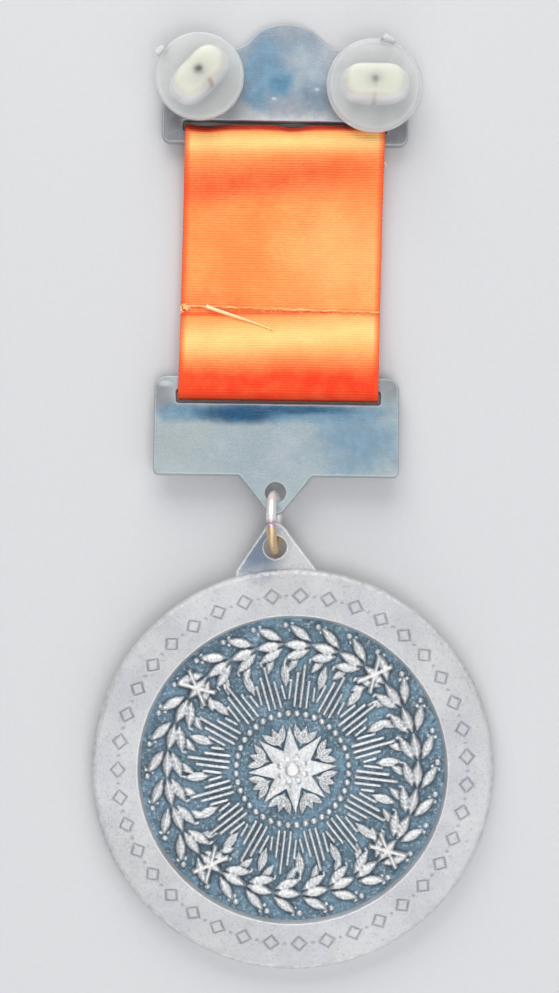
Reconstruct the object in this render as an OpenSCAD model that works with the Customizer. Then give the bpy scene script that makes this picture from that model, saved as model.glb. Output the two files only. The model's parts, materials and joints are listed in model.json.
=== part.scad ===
// A breast jewel: two metal bars joined by a flat loop of ribbon, a jump ring and a cast round
// medal, with rubber clutches on the two pins of the upper bar. It lies with its back up.
// The origin is on the surface that it lies on, under the middle of its outline; +Y runs up the
// ribbon from the medal to the arched bar, and +Z points out of the back.

/* [Medal] */
// Diameter of the disc
medal_d = 50; // [46:0.5:60]
// Thickness of the disc at its rim
medal_t = 3; // [2.8:0.1:3.6]
// Radius of the rounded outer edge
medal_edge = 0.8; // [0.4:0.1:1]
// Width of the raised rim band
rim_w = 5.8; // [5:0.1:6.4]
// Depth of the recessed field that holds the relief
field_depth = 1; // [0.9:0.05:1.2]
// How far the recess wall slopes in from its mouth to its floor
field_draft = 0.35; // [0.1:0.05:0.5]
// Depth of the plain recess in the front face
front_depth = 0.5; // [0.3:0.1:0.6]

/* [Medal lug] */
// Thickness of the lug
medal_lug_t = 1.3; // [1.1:0.1:1.6]
// Width of the lug where it leaves the disc
medal_lug_w = 10; // [8:0.1:12]
// Height of the lug's straight foot outside the disc
medal_lug_foot = 0.4; // [0:0.05:0.8]
// Lean of the lug to the right, in degrees
medal_lug_lean = 3; // [-4:0.5:4]
// Radius of the lug's rounded tip
medal_lug_tip = 1.5; // [1.2:0.1:1.6]
// From the edge of the disc to the middle of the hole
medal_hole_out = 2.75; // [2.4:0.05:3.4]
// Diameter of the hole
medal_hole_d = 2.7; // [2.4:0.1:2.9]
// Metal between the hole and the tip
medal_hole_wall = 1.7; // [1.4:0.1:1.9]

/* [Relief] */
// Gap between the recess wall and the wreath
wreath_margin = 0.7; // [0.4:0.1:1]
// Width of the wreath
wreath_w = 5; // [4.6:0.1:5.4]
// Length of a leaf
leaf_l = 3.4; // [3:0.1:3.6]
// Width of a leaf
leaf_w = 1.3; // [1.1:0.05:1.5]
// Height of the middle row of leaves above the field
leaf_h = 0.62; // [0.5:0.02:0.7]
// Height of a leaf's middle rib above the leaf
leaf_rib = 0.14; // [0.08:0.02:0.18]
// Slope of the outer and inner leaves to the wreath's line, in degrees
leaf_angle = 28; // [20:1:32]
// Width of a straight ray
ray_w = 0.5; // [0.36:0.02:0.56]
// Height of a ray above the field
ray_h = 0.45; // [0.3:0.05:0.6]
// Number of ray groups
ray_groups = 16; // [12:1:18]
// Radius of the ring of beads
bead_ring_r = 7; // [6.6:0.1:7.6]
// Radius of one bead
bead_r = 0.42; // [0.3:0.02:0.5]
// Radius of the faceted star
star_r = 5.8; // [5:0.1:6]
// Height of the star's middle above the field
star_h = 0.7; // [0.5:0.05:0.75]
// Radius of the boss on the star
boss_r = 1.5; // [1.2:0.1:1.8]
// Width of a strap that binds the wreath
strap_w = 0.7; // [0.5:0.1:0.9]
// Slope of a strap across the wreath, in degrees
strap_slope = 26; // [15:1:40]

/* [Rim border] */
// Length of a lozenge along the rim
lozenge_l = 2.3; // [1.8:0.1:2.5]
// Height of a lozenge across the rim
lozenge_h = 2.1; // [1.6:0.1:2.6]
// Width of the engraved line
line_w = 0.26; // [0.2:0.02:0.34]
// Depth of the engraved line
line_depth = 0.2; // [0.1:0.05:0.3]
// From one lozenge to the next along the rim
border_pitch = 3.45; // [3.3:0.05:4.2]

/* [Jump ring] */
// Outer diameter of the ring
ring_d = 8; // [7.7:0.1:9.4]
// Thickness of its wire
ring_wire = 1.2; // [1:0.05:1.3]
// Gap between the two ends of the wire
ring_gap = 0.12; // [0.05:0.01:0.2]

/* [Bottom bar] */
// Width of the bar
bottom_bar_w = 30.5; // [30:0.1:40]
// Height of the bar without its lug
bottom_bar_h = 12.4; // [10:0.1:16]
// Thickness of the bar and its lug
bottom_bar_t = 1.5; // [1.2:0.1:1.8]
// Radius of the two upper corners
bottom_bar_round = 1.6; // [0.8:0.1:2.4]
// Radius of the two lower corners
bottom_bar_corner = 0.6; // [0.3:0.1:1.5]
// Height of the strip above the slot
bottom_strip = 1.7; // [1.3:0.1:2.2]
// Height of the slot
bottom_slot_h = 1.7; // [1.4:0.1:2.4]
// How far the slot sits to the right of the bar's middle
bottom_slot_off = 0.2; // [0:0.1:0.6]
// Width of the lug where it leaves the bar
bar_lug_w = 9.1; // [8:0.1:12]
// Radius of the lug's rounded tip
bar_lug_tip = 1.4; // [1.1:0.1:1.5]
// From the lower edge of the bar to the middle of the hole
bar_hole_out = 2.15; // [1.8:0.05:3]
// Diameter of the hole
bar_hole_d = 2.5; // [2.4:0.1:2.8]
// Metal between the hole and the tip
bar_hole_wall = 1.45; // [1.1:0.05:1.6]

/* [Ribbon] */
// Width of the ribbon
ribbon_w = 24.9; // [20:0.1:25.6]
// Thickness of the cloth
ribbon_t = 1; // [1:0.05:1.1]
// Ribbon that shows between the two bars
ribbon_span = 29.1; // [22:0.1:45]
// Gap between the cloth and the strip that it goes round
cloth_gap = 0.1; // [0.05:0.01:0.15]
// Room in a slot beyond each edge of the ribbon
slot_play = 0.25; // [0.2:0.05:0.4]
// Radius of a slot's corners
slot_corner = 0.3; // [0.1:0.05:0.35]

/* [Top bar] */
// Width of the bar
top_bar_w = 30.7; // [30:0.1:40]
// Height of the bar at its shoulders
top_bar_h = 12.1; // [11:0.1:14]
// Thickness of the bar
top_bar_t = 1.5; // [1.2:0.1:1.8]
// Radius of the four corners
top_bar_corner = 1.1; // [0.5:0.1:2]
// Height of the arch above the shoulders
arch_rise = 3.2; // [2.4:0.1:4.4]
// Radius of the arch
arch_r = 5.9; // [5.2:0.1:7]
// Radius of the hollow where the arch meets a shoulder
arch_hollow = 2.6; // [1.5:0.1:3]
// Height of the strip below the slot
top_strip = 1.45; // [1.2:0.05:1.8]
// Height of the slot
top_slot_h = 1.4; // [1.35:0.05:1.6]

/* [Pins and clutches] */
// Left pin, to the left of the bar's middle
pin_left_x = 10.7; // [9:0.1:12]
// Left pin, above the bar's lower edge
pin_left_up = 7.9; // [7:0.1:9]
// Right pin, to the right of the bar's middle
pin_right_x = 11; // [9:0.1:12]
// Right pin, above the bar's lower edge
pin_right_up = 7.1; // [6.9:0.1:9]
// Thickness of a pin
pin_d = 1.1; // [0.8:0.1:1.4]
// How far a pin's point stays below the top of its hub
pin_sunk = 0.55; // [0.5:0.05:1]
// Diameter of the collar that is soldered to the bar
collar_d = 3.2; // [2.4:0.1:3.8]
// Height of the collar
collar_h = 1.3; // [1.3:0.05:1.6]
// Room around a pin in its clutch
bore_play = 0.05; // [0.03:0.01:0.1]
// Gap between a clutch and its collar
seat_gap = 0.05; // [0.03:0.01:0.15]
// Diameter of the left clutch's pad
pad_left_d = 11.1; // [9:0.1:12]
// Diameter of the right clutch's pad
pad_right_d = 11.3; // [9:0.1:12]
// Width of the moulding flash round the right pad
flash_w = 0.3; // [0.1:0.05:0.4]
// Thickness of a pad
pad_t = 1.2; // [0.9:0.1:1.6]
// Radius of a pad's rounded edge
pad_edge = 0.4; // [0.2:0.05:0.45]
// Length of a hub
hub_l = 7.9; // [6.5:0.1:8.5]
// Width of a hub at its foot
hub_w = 4.7; // [3.6:0.1:5.4]
// Height of a hub above its pad
hub_h = 3.2; // [2.8:0.1:4]
// How far a hub's sides slope in towards its top
hub_draft = 0.35; // [0.1:0.05:0.4]
// Rubber that closes the right clutch above its pin
hub_cap = 0.35; // [0.2:0.05:0.4]
// Height of the chamfer round a hub's top
hub_chamfer = 0.5; // [0.3:0.1:0.8]
// How far the mould's tab stands out from a pad
sprue_out = 0.7; // [0.3:0.1:1]
// Width of the tab
sprue_w = 0.9; // [0.5:0.1:1.5]
// Thickness of the tab
sprue_t = 0.6; // [0.3:0.1:0.8]
// Place of the tab round the left pad, in degrees
sprue_left_turn = 147; // [0:1:359]
// Place of the tab round the right pad, in degrees
sprue_right_turn = 74; // [0:1:359]
// Turn of the left hub, in degrees
hub_left_turn = 48; // [0:1:90]
// Turn of the right hub, in degrees
hub_right_turn = 0; // [-45:1:45]

/* [How it lies] */
// Turn of the medal to the left, in degrees
medal_turn = 4.4; // [-10:0.1:10]
// Turn of the bottom bar
bottom_bar_turn = -0.8; // [-1.2:0.1:1.2]
// Lean of the ribbon from bar to bar
ribbon_lean = -1.5; // [-3:0.1:3]
// Turn of the top bar
top_bar_turn = -0.9; // [-1.2:0.1:1.2]
// Lean of the standing ring to the left
ring_lean = 6.3; // [0:0.1:8]
// Turn of the ring about the upright
ring_turn = 1; // [-3:0.1:3]
// How far the lugs hang below the middle of the ring
lug_drop = 0.2; // [0:0.05:0.3]

/* [Hidden] */
$fn = 64;

METAL = [0.66, 0.67, 0.72];
PATINA = [0.42, 0.52, 0.60];
CLOTH = [0.98, 0.55, 0.24];
GOLD = [0.86, 0.68, 0.50];
RUBBER = [0.84, 0.86, 0.83, 0.7];

// Small overlap that joins one shape to the next
bite = 0.2;
// How far a lug's foot runs into its plate
lug_root = 2;

// Medal sizes
medal_r = medal_d / 2;
field_r = medal_r - rim_w;
floor_r = field_r - field_draft;
floor_z = medal_t - field_depth;
medal_hole_y = medal_r + medal_hole_out;
medal_lug_y = sqrt(medal_r * medal_r - medal_lug_w * medal_lug_w / 4) + medal_lug_foot;
medal_tip_y = medal_hole_y + medal_hole_d / 2 + medal_hole_wall;

// Relief sizes
wreath_r = floor_r - wreath_margin - wreath_w / 2;
wreath_count = floor(2 * PI * wreath_r / (leaf_l + 0.1));
leaf_row_out = wreath_w * 0.1;
ray_start = bead_ring_r + bead_r + 0.3;
ray_end = wreath_r - wreath_w / 2 + 0.1;
bead_count = floor(2 * PI * bead_ring_r / (2.6 * bead_r));
border_r = (medal_r - medal_edge + field_r) / 2;
border_count = floor(2 * PI * border_r / border_pitch);
dot_r = line_w * 0.9;
strap_count = 4;
petal_count = 8;
star_points = 8;

// Shares: the heights of the outer and inner leaves, of the side rays and of the star's edge,
// the side rays' lengths, and the depth of the star's notches
LEAF_SHARE = [0.82, 0.7];
RAY_HIGH_SHARE = 0.7;
RAY_LONG_SHARE = [0.64, 0.8];
STAR_EDGE_SHARE = 0.3;
STAR_NOTCH_SHARE = 0.46;

// Ring sizes, and where its wire crosses the two lugs
ring_r = (ring_d - ring_wire) / 2;
ring_z = ring_wire / 2 + ring_r * cos(ring_lean);
cross_z = ring_z - lug_drop;
medal_hook = 0.55 * (medal_hole_d - ring_wire) / 2;
bar_hook = 0.4 * (bar_hole_d - ring_wire) / 2;
side_hook = 0.2 * (bar_hole_d - ring_wire) / 2;

// The bars' slots, and the line that the ribbon's middle layer follows round a strip
slot_w = ribbon_w + 2 * slot_play;
wrap = cloth_gap + ribbon_t / 2;
cloth_under = cloth_gap + ribbon_t;
arch_h = top_bar_h + arch_rise;
pin_left = [-pin_left_x, pin_left_up];
pin_right = [pin_right_x, pin_right_up];
pin_l = collar_h + seat_gap + pad_t + hub_h - pin_sunk;

// Tilts: each plate leans from the cloth or the surface under it to the ring
medal_tilt = asin((cross_z - medal_t / 2) / (medal_r - medal_edge + medal_hole_y));
bottom_bar_tilt = -asin((cross_z - cloth_under - bottom_bar_t / 2) / (bottom_bar_h + bar_hole_out));
top_bar_tilt = -asin(cloth_under / (arch_h - top_strip));

// A point of a plate, tilted about X and then turned about Z
function laid(p, tilt, turn) =
    let (
        y = p[1] * cos(tilt) - p[2] * sin(tilt),
        z = p[1] * sin(tilt) + p[2] * cos(tilt)
    )
    [p[0] * cos(turn) - y * sin(turn), p[0] * sin(turn) + y * cos(turn), z];

// The chain of places, from the medal up to the top bar
medal_z = (medal_r - medal_edge) * sin(medal_tilt) + medal_edge * (1 - cos(medal_tilt));
medal_place = [0, 0, medal_z];
medal_hole_place = medal_place + laid([0, medal_hole_y, medal_t / 2], medal_tilt, medal_turn);
ring_place = [
    medal_hole_place[0] - side_hook,
    medal_hole_place[1] - medal_hook + ring_r,
    ring_z
];
bar_hole_place = [ring_place[0] + side_hook, ring_place[1] + ring_r + bar_hook, cross_z];
bottom_bar_place = bar_hole_place
    - laid([0, -bottom_bar_h - bar_hole_out, bottom_bar_t / 2], bottom_bar_tilt, bottom_bar_turn);
ribbon_foot = bottom_bar_place + laid([bottom_slot_off, 0, 0], bottom_bar_tilt, bottom_bar_turn);
top_bar_place = [
    ribbon_foot[0] - ribbon_span * sin(ribbon_lean),
    ribbon_foot[1] + ribbon_span * cos(ribbon_lean),
    -arch_h * sin(top_bar_tilt)
];

// The shift that puts the origin under the middle of the outline
low_y = -(medal_r - medal_edge) * cos(medal_tilt) - (medal_t - medal_edge) * sin(medal_tilt) - medal_edge;
high_y = top_bar_place[1] + arch_h * cos(top_bar_tilt) - top_bar_t * sin(top_bar_tilt);
centred = [0, -(low_y + high_y) / 2, 0];

// Puts a plate in its place
module lay(place, tilt, turn) {
    translate(centred + place)
        rotate([0, 0, turn])
            rotate([tilt, 0, 0])
                children();
}

// A rectangle from x = -w/2 to w/2 and y = 0 to h with rounded lower and upper corners
module rounded(w, h, low, high) {
    for (side = [-1, 1]) {
        translate([side * (w / 2 - low), low]) circle(low);
        translate([side * (w / 2 - high), h - high]) circle(high);
    }
    polygon([
        [-w / 2 + low, 0], [w / 2 - low, 0], [w / 2, low], [w / 2, h - high],
        [w / 2 - high, h], [-w / 2 + high, h], [-w / 2, h - high], [-w / 2, low]
    ]);
}

// Where a straight side from the point p touches a circle of radius r round [0, y]
function touch(p, y, r) =
    let (
        dx = p[0],
        dy = p[1] - y,
        a = atan2(dy, dx) + acos(r / norm([dx, dy]))
    )
    [r * cos(a), y + r * sin(a)];

// A pointed lug along +Y from the line y = base to a round tip at y = tip
module lug(w, base, tip, r) {
    corner = [w / 2, base];
    side = touch(corner, tip - r, r);
    sunk = base - lug_root;
    translate([0, tip - r]) circle(r);
    polygon([
        [-w / 2, sunk], [w / 2, sunk], corner, side,
        [0, tip - r], [-side[0], side[1]], [-w / 2, base]
    ]);
}

// Medal

// The disc before its recesses, with a rounded edge
module disc_blank() {
    rotate_extrude() {
        square([medal_r - medal_edge, medal_t]);
        translate([0, medal_edge]) square([medal_r, medal_t - 2 * medal_edge]);
        for (z = [medal_edge, medal_t - medal_edge])
            translate([medal_r - medal_edge, z])
                intersection() {
                    circle(medal_edge);
                    translate([-medal_edge, -medal_edge]) square(2 * medal_edge);
                }
    }
}

// The sloped recess with the relief on its floor
module field_recess() {
    translate([0, 0, floor_z])
        cylinder(r1 = floor_r, r2 = floor_r + field_draft * (field_depth + 1) / field_depth, h = field_depth + 1);
}

// The plain recess in the face that looks down
module front_recess() {
    translate([0, 0, -1]) cylinder(r = field_r, h = front_depth + 1);
}

// One leaf from its stalk along +X: two arcs, with a rib on top
module leaf(h) {
    blade_r = (leaf_l * leaf_l + leaf_w * leaf_w) / (4 * leaf_w);
    linear_extrude(h)
        intersection_for(side = [-1, 1])
            translate([leaf_l / 2, side * (blade_r - leaf_w / 2)]) circle(blade_r);
    translate([leaf_l * 0.12, -line_w / 2, 0]) cube([leaf_l * 0.7, line_w, h + leaf_rib]);
}

// Three rows of leaves that run round the field
module wreath() {
    for (i = [0 : wreath_count - 1])
        rotate([0, 0, 360 * i / wreath_count]) {
            translate([wreath_r, 0, -bite]) rotate([0, 0, 90 + 180 / wreath_count]) leaf(leaf_h + bite);
            translate([wreath_r + leaf_row_out, 0, -bite])
                rotate([0, 0, 90 - leaf_angle]) leaf(leaf_h * LEAF_SHARE[0] + bite);
            translate([wreath_r - leaf_row_out, 0, -bite])
                rotate([0, 0, 90 + leaf_angle]) leaf(leaf_h * LEAF_SHARE[1] + bite);
        }
}

// Crossed straps that bind the wreath at its quarters, a little above its leaves
module straps() {
    above = 0.04;
    for (i = [0 : strap_count - 1])
        for (side = [-1, 1])
            rotate([0, 0, 360 * (i + 0.5) / strap_count])
                translate([wreath_r, 0, 0])
                    rotate([0, 0, side * strap_slope])
                        translate([-wreath_w / 2, -strap_w / 2, -bite])
                            cube([wreath_w, strap_w, leaf_h + leaf_rib + above + bite]);
}

// Groups of three straight rays between the beads and the wreath
module rays() {
    pitch = 1.5 * ray_w;
    for (i = [0 : ray_groups - 1])
        rotate([0, 0, 360 * (i + 0.5) / ray_groups])
            translate([ray_start, -ray_w / 2, -bite]) {
                ray(1, ray_h);
                translate([0, -pitch, 0]) ray(RAY_LONG_SHARE[0], ray_h * RAY_HIGH_SHARE);
                translate([0, pitch, 0]) ray(RAY_LONG_SHARE[1], ray_h * RAY_HIGH_SHARE);
            }
}

// One ray along +X, as a share of the longest
module ray(share, h) {
    cube([(ray_end - ray_start) * share, ray_w, h + bite]);
}

// A ring of half-round beads
module beads() {
    for (i = [0 : bead_count - 1])
        rotate([0, 0, 360 * i / bead_count])
            translate([bead_ring_r, 0, 0]) sphere(bead_r, $fn = 24);
}

// A star whose facets rise to its middle
module star() {
    edge_h = star_h * STAR_EDGE_SHARE;
    corners = [
        for (i = [0 : 2 * star_points - 1])
            let (
                r = i % 2 == 0 ? star_r : star_r * STAR_NOTCH_SHARE,
                turn = 180 * i / star_points
            )
            [r * cos(turn), r * sin(turn)]
    ];
    count = len(corners);
    polyhedron(
        points = [
            for (c = corners) [c[0], c[1], -bite],
            for (c = corners) [c[0], c[1], edge_h],
            [0, 0, star_h],
            [0, 0, -bite]
        ],
        faces = [
            for (i = [0 : count - 1])
                let (j = (i + 1) % count)
                each [[i, count + i, count + j, j], [count + i, 2 * count, count + j], [i, j, 2 * count + 1]]
        ]
    );
}

// A round boss on the star, with a ring of round petals
module rosette() {
    middle_r = boss_r * 0.6;
    petal_r = boss_r * 0.3;
    above = 0.14;
    cylinder(r = middle_r, h = star_h + above);
    for (i = [0 : petal_count - 1])
        rotate([0, 0, 360 * (i + 0.5) / petal_count])
            translate([boss_r, 0, 0]) cylinder(r = petal_r, h = star_h * 0.9);
}

// All that stands up from the floor of the field
module relief() {
    wreath();
    straps();
    rays();
    beads();
    star();
    rosette();
}

// Engraved lozenges and dots round the rim
module border() {
    for (i = [0 : border_count - 1])
        rotate([0, 0, 360 * i / border_count]) {
            translate([border_r, 0, 0])
                linear_extrude(line_depth + 1)
                    difference() {
                        lozenge(0);
                        lozenge(line_w);
                    }
            rotate([0, 0, 180 / border_count])
                translate([border_r, 0, 0]) cylinder(r = dot_r, h = line_depth + 1, $fn = 24);
        }
}

// A lozenge across the rim, drawn in from its outline by a margin
module lozenge(margin) {
    half_h = lozenge_h / 2 - margin * norm([lozenge_l, lozenge_h]) / lozenge_l;
    half_l = half_h * lozenge_l / lozenge_h;
    polygon([[half_h, 0], [0, half_l], [-half_h, 0], [0, -half_l]]);
}

module medal() {
    color(METAL)
        lay(medal_place, medal_tilt, medal_turn)
            difference() {
                union() {
                    difference() {
                        disc_blank();
                        field_recess();
                        front_recess();
                    }
                    translate([0, 0, floor_z]) relief();
                    translate([0, medal_hole_y, (medal_t - medal_lug_t) / 2])
                        rotate([0, 0, -medal_lug_lean])
                            translate([0, -medal_hole_y, 0])
                                linear_extrude(medal_lug_t)
                                    lug(medal_lug_w, medal_lug_y, medal_tip_y, medal_lug_tip);
                }
                translate([0, medal_hole_y, -1]) cylinder(d = medal_hole_d, h = medal_t + 2);
                translate([0, 0, medal_t - line_depth]) border();
            }
}

// Jump ring

module jump_ring() {
    gap_turn = ring_gap / (2 * PI * ring_r) * 360;
    color(GOLD)
        translate(centred + ring_place)
            rotate([0, 0, ring_turn])
                rotate([0, -ring_lean, 0])
                    rotate([0, 90, 0])
                        rotate([0, 0, 180 + gap_turn / 2])
                            rotate_extrude(angle = 360 - gap_turn)
                                translate([ring_r, 0]) circle(d = ring_wire, $fn = 32);
}

// Bars

// A ribbon slot whose lower edge is at y = 0
module slot(h) {
    rounded(slot_w, h, slot_corner, slot_corner);
}

module bottom_bar() {
    color(PATINA)
        lay(bottom_bar_place, bottom_bar_tilt, bottom_bar_turn)
            linear_extrude(bottom_bar_t)
                difference() {
                    union() {
                        translate([0, -bottom_bar_h])
                            rounded(bottom_bar_w, bottom_bar_h, bottom_bar_corner, bottom_bar_round);
                        translate([0, -bottom_bar_h])
                            mirror([0, 1])
                                lug(bar_lug_w, 0, bar_hole_out + bar_hole_d / 2 + bar_hole_wall, bar_lug_tip);
                    }
                    translate([bottom_slot_off, -bottom_strip - bottom_slot_h]) slot(bottom_slot_h);
                    translate([0, -bottom_bar_h - bar_hole_out]) circle(d = bar_hole_d);
                }
}

// The arch and the two hollows that lead down to the shoulders
module arch() {
    middle = arch_h - arch_r;
    hollow_y = top_bar_h + arch_hollow;
    reach = arch_r + arch_hollow;
    hollow_x = sqrt(reach * reach - (hollow_y - middle) * (hollow_y - middle));
    meet = [hollow_x * arch_r / reach, middle + (hollow_y - middle) * arch_r / reach];
    translate([0, middle]) circle(arch_r);
    for (side = [-1, 1])
        scale([side, 1])
            difference() {
                polygon([[0, middle], meet, [hollow_x, hollow_y], [hollow_x, top_bar_h - bite], [0, top_bar_h - bite]]);
                translate([hollow_x, hollow_y]) circle(arch_hollow);
            }
}

// A pin with its soldered collar, from the bar's back along +Z
module pin() {
    point = pin_d / 2;
    translate([0, 0, -bite]) cylinder(d = collar_d, h = collar_h + bite);
    cylinder(d = pin_d, h = pin_l - point);
    translate([0, 0, pin_l - point]) cylinder(d1 = pin_d, d2 = pin_d * 0.3, h = point);
}

module top_bar() {
    color(METAL)
        lay(top_bar_place, top_bar_tilt, top_bar_turn) {
            linear_extrude(top_bar_t)
                difference() {
                    union() {
                        rounded(top_bar_w, top_bar_h, top_bar_corner, top_bar_corner);
                        arch();
                    }
                    translate([0, top_strip]) slot(top_slot_h);
                }
            for (foot = [pin_left, pin_right])
                translate([foot[0], foot[1], top_bar_t]) pin();
        }
}

// Clutches

// The round pad, with its underside on z = 0
module pad(d) {
    rotate_extrude() {
        square([d / 2 - pad_edge, pad_t]);
        translate([0, pad_edge]) square([d / 2, pad_t - 2 * pad_edge]);
        for (z = [pad_edge, pad_t - pad_edge])
            translate([d / 2 - pad_edge, z]) circle(pad_edge);
    }
}

// The oblong grip that stands on the pad
module hub(turn) {
    foot_r = hub_w / 2;
    top_r = foot_r - hub_draft;
    rotate([0, 0, turn])
        hull()
            for (side = [-1, 1])
                translate([side * (hub_l / 2 - foot_r), 0, pad_t - bite]) {
                    cylinder(r1 = foot_r, r2 = top_r, h = hub_h - hub_chamfer + bite, $fn = 32);
                    cylinder(r = top_r - hub_chamfer, h = hub_h + bite, $fn = 32);
                }
}

// The tab left where the rubber ran into the mould, which reaches out past the pad
module sprue(d, turn, out) {
    tab = [out + pad_edge, sprue_w, sprue_t];
    rotate([0, 0, turn])
        translate([d / 2 - pad_edge, -tab[1] / 2, (pad_t - tab[2]) / 2]) cube(tab);
}

// Puts a clutch on the pin whose foot is given
module on_pin(foot) {
    lay(top_bar_place, top_bar_tilt, top_bar_turn)
        translate([foot[0], foot[1], top_bar_t + collar_h + seat_gap])
            children();
}

module clutch_left() {
    bore_d = pin_d + 2 * bore_play;
    color(RUBBER)
        on_pin(pin_left)
            difference() {
                union() {
                    pad(pad_left_d);
                    hub(hub_left_turn);
                    sprue(pad_left_d, sprue_left_turn, sprue_out);
                }
                translate([0, 0, -1]) cylinder(d = bore_d, h = pad_t + hub_h + 2);
            }
}

module clutch_right() {
    bore_d = pin_d + 2 * bore_play;
    color(RUBBER)
        on_pin(pin_right)
            difference() {
                union() {
                    pad(pad_right_d);
                    translate([0, 0, pad_edge]) cylinder(d = pad_right_d + 2 * flash_w, h = pad_t - 2 * pad_edge);
                    hub(hub_right_turn);
                    sprue(pad_right_d, sprue_right_turn, sprue_out + flash_w / 2);
                }
                translate([0, 0, -1]) cylinder(d = bore_d, h = pad_t + hub_h - hub_cap + 1);
            }
}

// Ribbon

// Share of the way from the top bar to the bottom bar, and share of the rise from the lowest
// line up to the strips
RIBBON_SAG = [
    [0.03, 0.98], [0.08, 0.80], [0.15, 0.42], [0.24, 0.10], [0.36, 0.00],
    [0.52, 0.04], [0.66, 0.06], [0.76, 0.32], [0.86, 0.78], [0.94, 1.00]
];
arc_steps = 4;

// Middle line of the cloth as [y, z], round one corner of a strip
function wrap_arc(y, z, from, to) =
    [for (i = [0 : arc_steps])
        let (a = from + (to - from) * i / arc_steps)
        [y + wrap * cos(a), z + wrap * sin(a)]];

// A bar's own [y, z] points, seen from the side where the bar lies
function seen(points, place, tilt) =
    [for (p = points) let (q = laid([0, p[0], p[1]], tilt, 0)) [place[1] + q[1], place[2] + q[2]]];

function ribbon_line() =
    let (
        over_top = seen(wrap_arc(top_strip, top_bar_t, 0, 90), top_bar_place, top_bar_tilt),
        over_bottom = seen(wrap_arc(-bottom_strip, bottom_bar_t, 90, 180), ribbon_foot, bottom_bar_tilt),
        under_bottom = seen(wrap_arc(-bottom_strip, 0, 180, 270), ribbon_foot, bottom_bar_tilt),
        under_edge = seen([[0, -wrap]], ribbon_foot, bottom_bar_tilt),
        under_top = seen(wrap_arc(top_strip, 0, 270, 360), top_bar_place, top_bar_tilt),
        start = seen([[0, top_bar_t + wrap]], top_bar_place, top_bar_tilt)[0],
        end = seen([[0, bottom_bar_t + wrap]], ribbon_foot, bottom_bar_tilt)[0],
        low = ribbon_t * 1.5 + 2 * cloth_gap,
        between = [
            for (row = RIBBON_SAG)
                let (high = start[1] + (end[1] - start[1]) * row[0])
                [start[0] + (end[0] - start[0]) * row[0], low + (high - low) * row[1]]
        ],
        floor_end = [top_bar_place[1] - top_strip, ribbon_t / 2]
    )
    concat(over_top, [start], between, [end], over_bottom, under_bottom, under_edge, [floor_end], under_top);

// The direction across the middle line at point i, in the plane seen from the side
function across(line, i) =
    let (
        count = len(line),
        d = line[(i + 1) % count] - line[(i + count - 1) % count]
    )
    [-d[1], d[0]] / norm(d);

module ribbon() {
    line = ribbon_line();
    count = len(line);
    turn = (bottom_bar_turn + top_bar_turn) / 2;
    shown = [for (i = [0 : count - 1]) for (face = [-1, 1]) line[i] + face * ribbon_t / 2 * across(line, i)];
    points = [
        for (p = shown)
            for (side = [-1, 1])
                [
                    ribbon_foot[0] - (p[0] - ribbon_foot[1]) * tan(ribbon_lean) + side * ribbon_w / 2 * cos(turn),
                    p[0] + side * ribbon_w / 2 * sin(turn),
                    p[1]
                ]
    ];
    // Each place on the line has four points: left and right of one face, then of the other
    color(CLOTH)
        translate(centred)
            polyhedron(
                points = points,
                faces = [
                    for (i = [0 : count - 1])
                        let (a = 4 * i, b = 4 * ((i + 1) % count))
                        each [
                            [a, a + 1, b + 1, b],
                            [a + 2, b + 2, b + 3, a + 3],
                            [a, b, b + 2, a + 2],
                            [a + 1, a + 3, b + 3, b + 1]
                        ]
                ]
            );
}

top_bar();
clutch_left();
clutch_right();
ribbon();
bottom_bar();
jump_ring();
medal();
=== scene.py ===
"""A breast jewel that lies with its back up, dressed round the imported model.

Lengths are metres in the model's frame, and MM turns millimetres into them.
"""

import json
import math

import bmesh
import bpy
import numpy as np
from bpy.props import FloatProperty, FloatVectorProperty, IntProperty, PointerProperty
from mathutils import Matrix, Vector
from mathutils.geometry import delaunay_2d_cdt


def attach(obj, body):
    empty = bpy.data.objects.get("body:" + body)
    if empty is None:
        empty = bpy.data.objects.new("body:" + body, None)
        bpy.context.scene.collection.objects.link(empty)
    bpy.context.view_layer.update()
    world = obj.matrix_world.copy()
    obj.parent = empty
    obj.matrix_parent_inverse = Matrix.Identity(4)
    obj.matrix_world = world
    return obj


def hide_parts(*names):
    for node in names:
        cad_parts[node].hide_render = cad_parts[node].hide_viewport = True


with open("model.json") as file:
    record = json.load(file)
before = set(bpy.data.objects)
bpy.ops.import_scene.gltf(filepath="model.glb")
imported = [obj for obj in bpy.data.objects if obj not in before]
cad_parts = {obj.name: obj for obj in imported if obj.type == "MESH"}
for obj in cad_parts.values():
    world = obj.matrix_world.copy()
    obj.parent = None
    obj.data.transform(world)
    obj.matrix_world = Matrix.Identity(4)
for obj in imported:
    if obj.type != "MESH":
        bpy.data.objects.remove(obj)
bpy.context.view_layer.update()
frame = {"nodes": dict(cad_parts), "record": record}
MM = 0.001
FULL_TURN = 2 * math.pi

bl_info = {
    "name": "Ribbon jewel",
    "version": (1, 0, 0),
    "blender": (4, 5, 0),
    "location": "View3D > Sidebar > Jewel",
    "description": "Builds a cast medal on a ribbon between two bars, with its finishes",
    "category": "Add Mesh",
}


# Numbers and arrays

RIPPLE_WAVES = 7
RIPPLE_SCALE = 4


def column(items, name, width=1):
    """One attribute of all the items of a mesh, as an array."""
    values = np.zeros(len(items) * width, np.float32)
    items.foreach_get(name, values)
    return values.astype(float).reshape(-1, width) if width > 1 else values.astype(float)


def ease(value):
    """0 below 0, 1 above 1 and a smooth step between."""
    value = np.clip(value, 0.0, 1.0)
    return value * value * (3 - 2 * value)


def hump(value, middle, width):
    """1 where a value is at the middle, falling softly to both sides."""
    return np.exp(-(((value - middle) / width) ** 2))


def circle(count):
    """Even angles round a full turn, from 0."""
    return np.linspace(0, FULL_TURN, count, endpoint=False)


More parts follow.
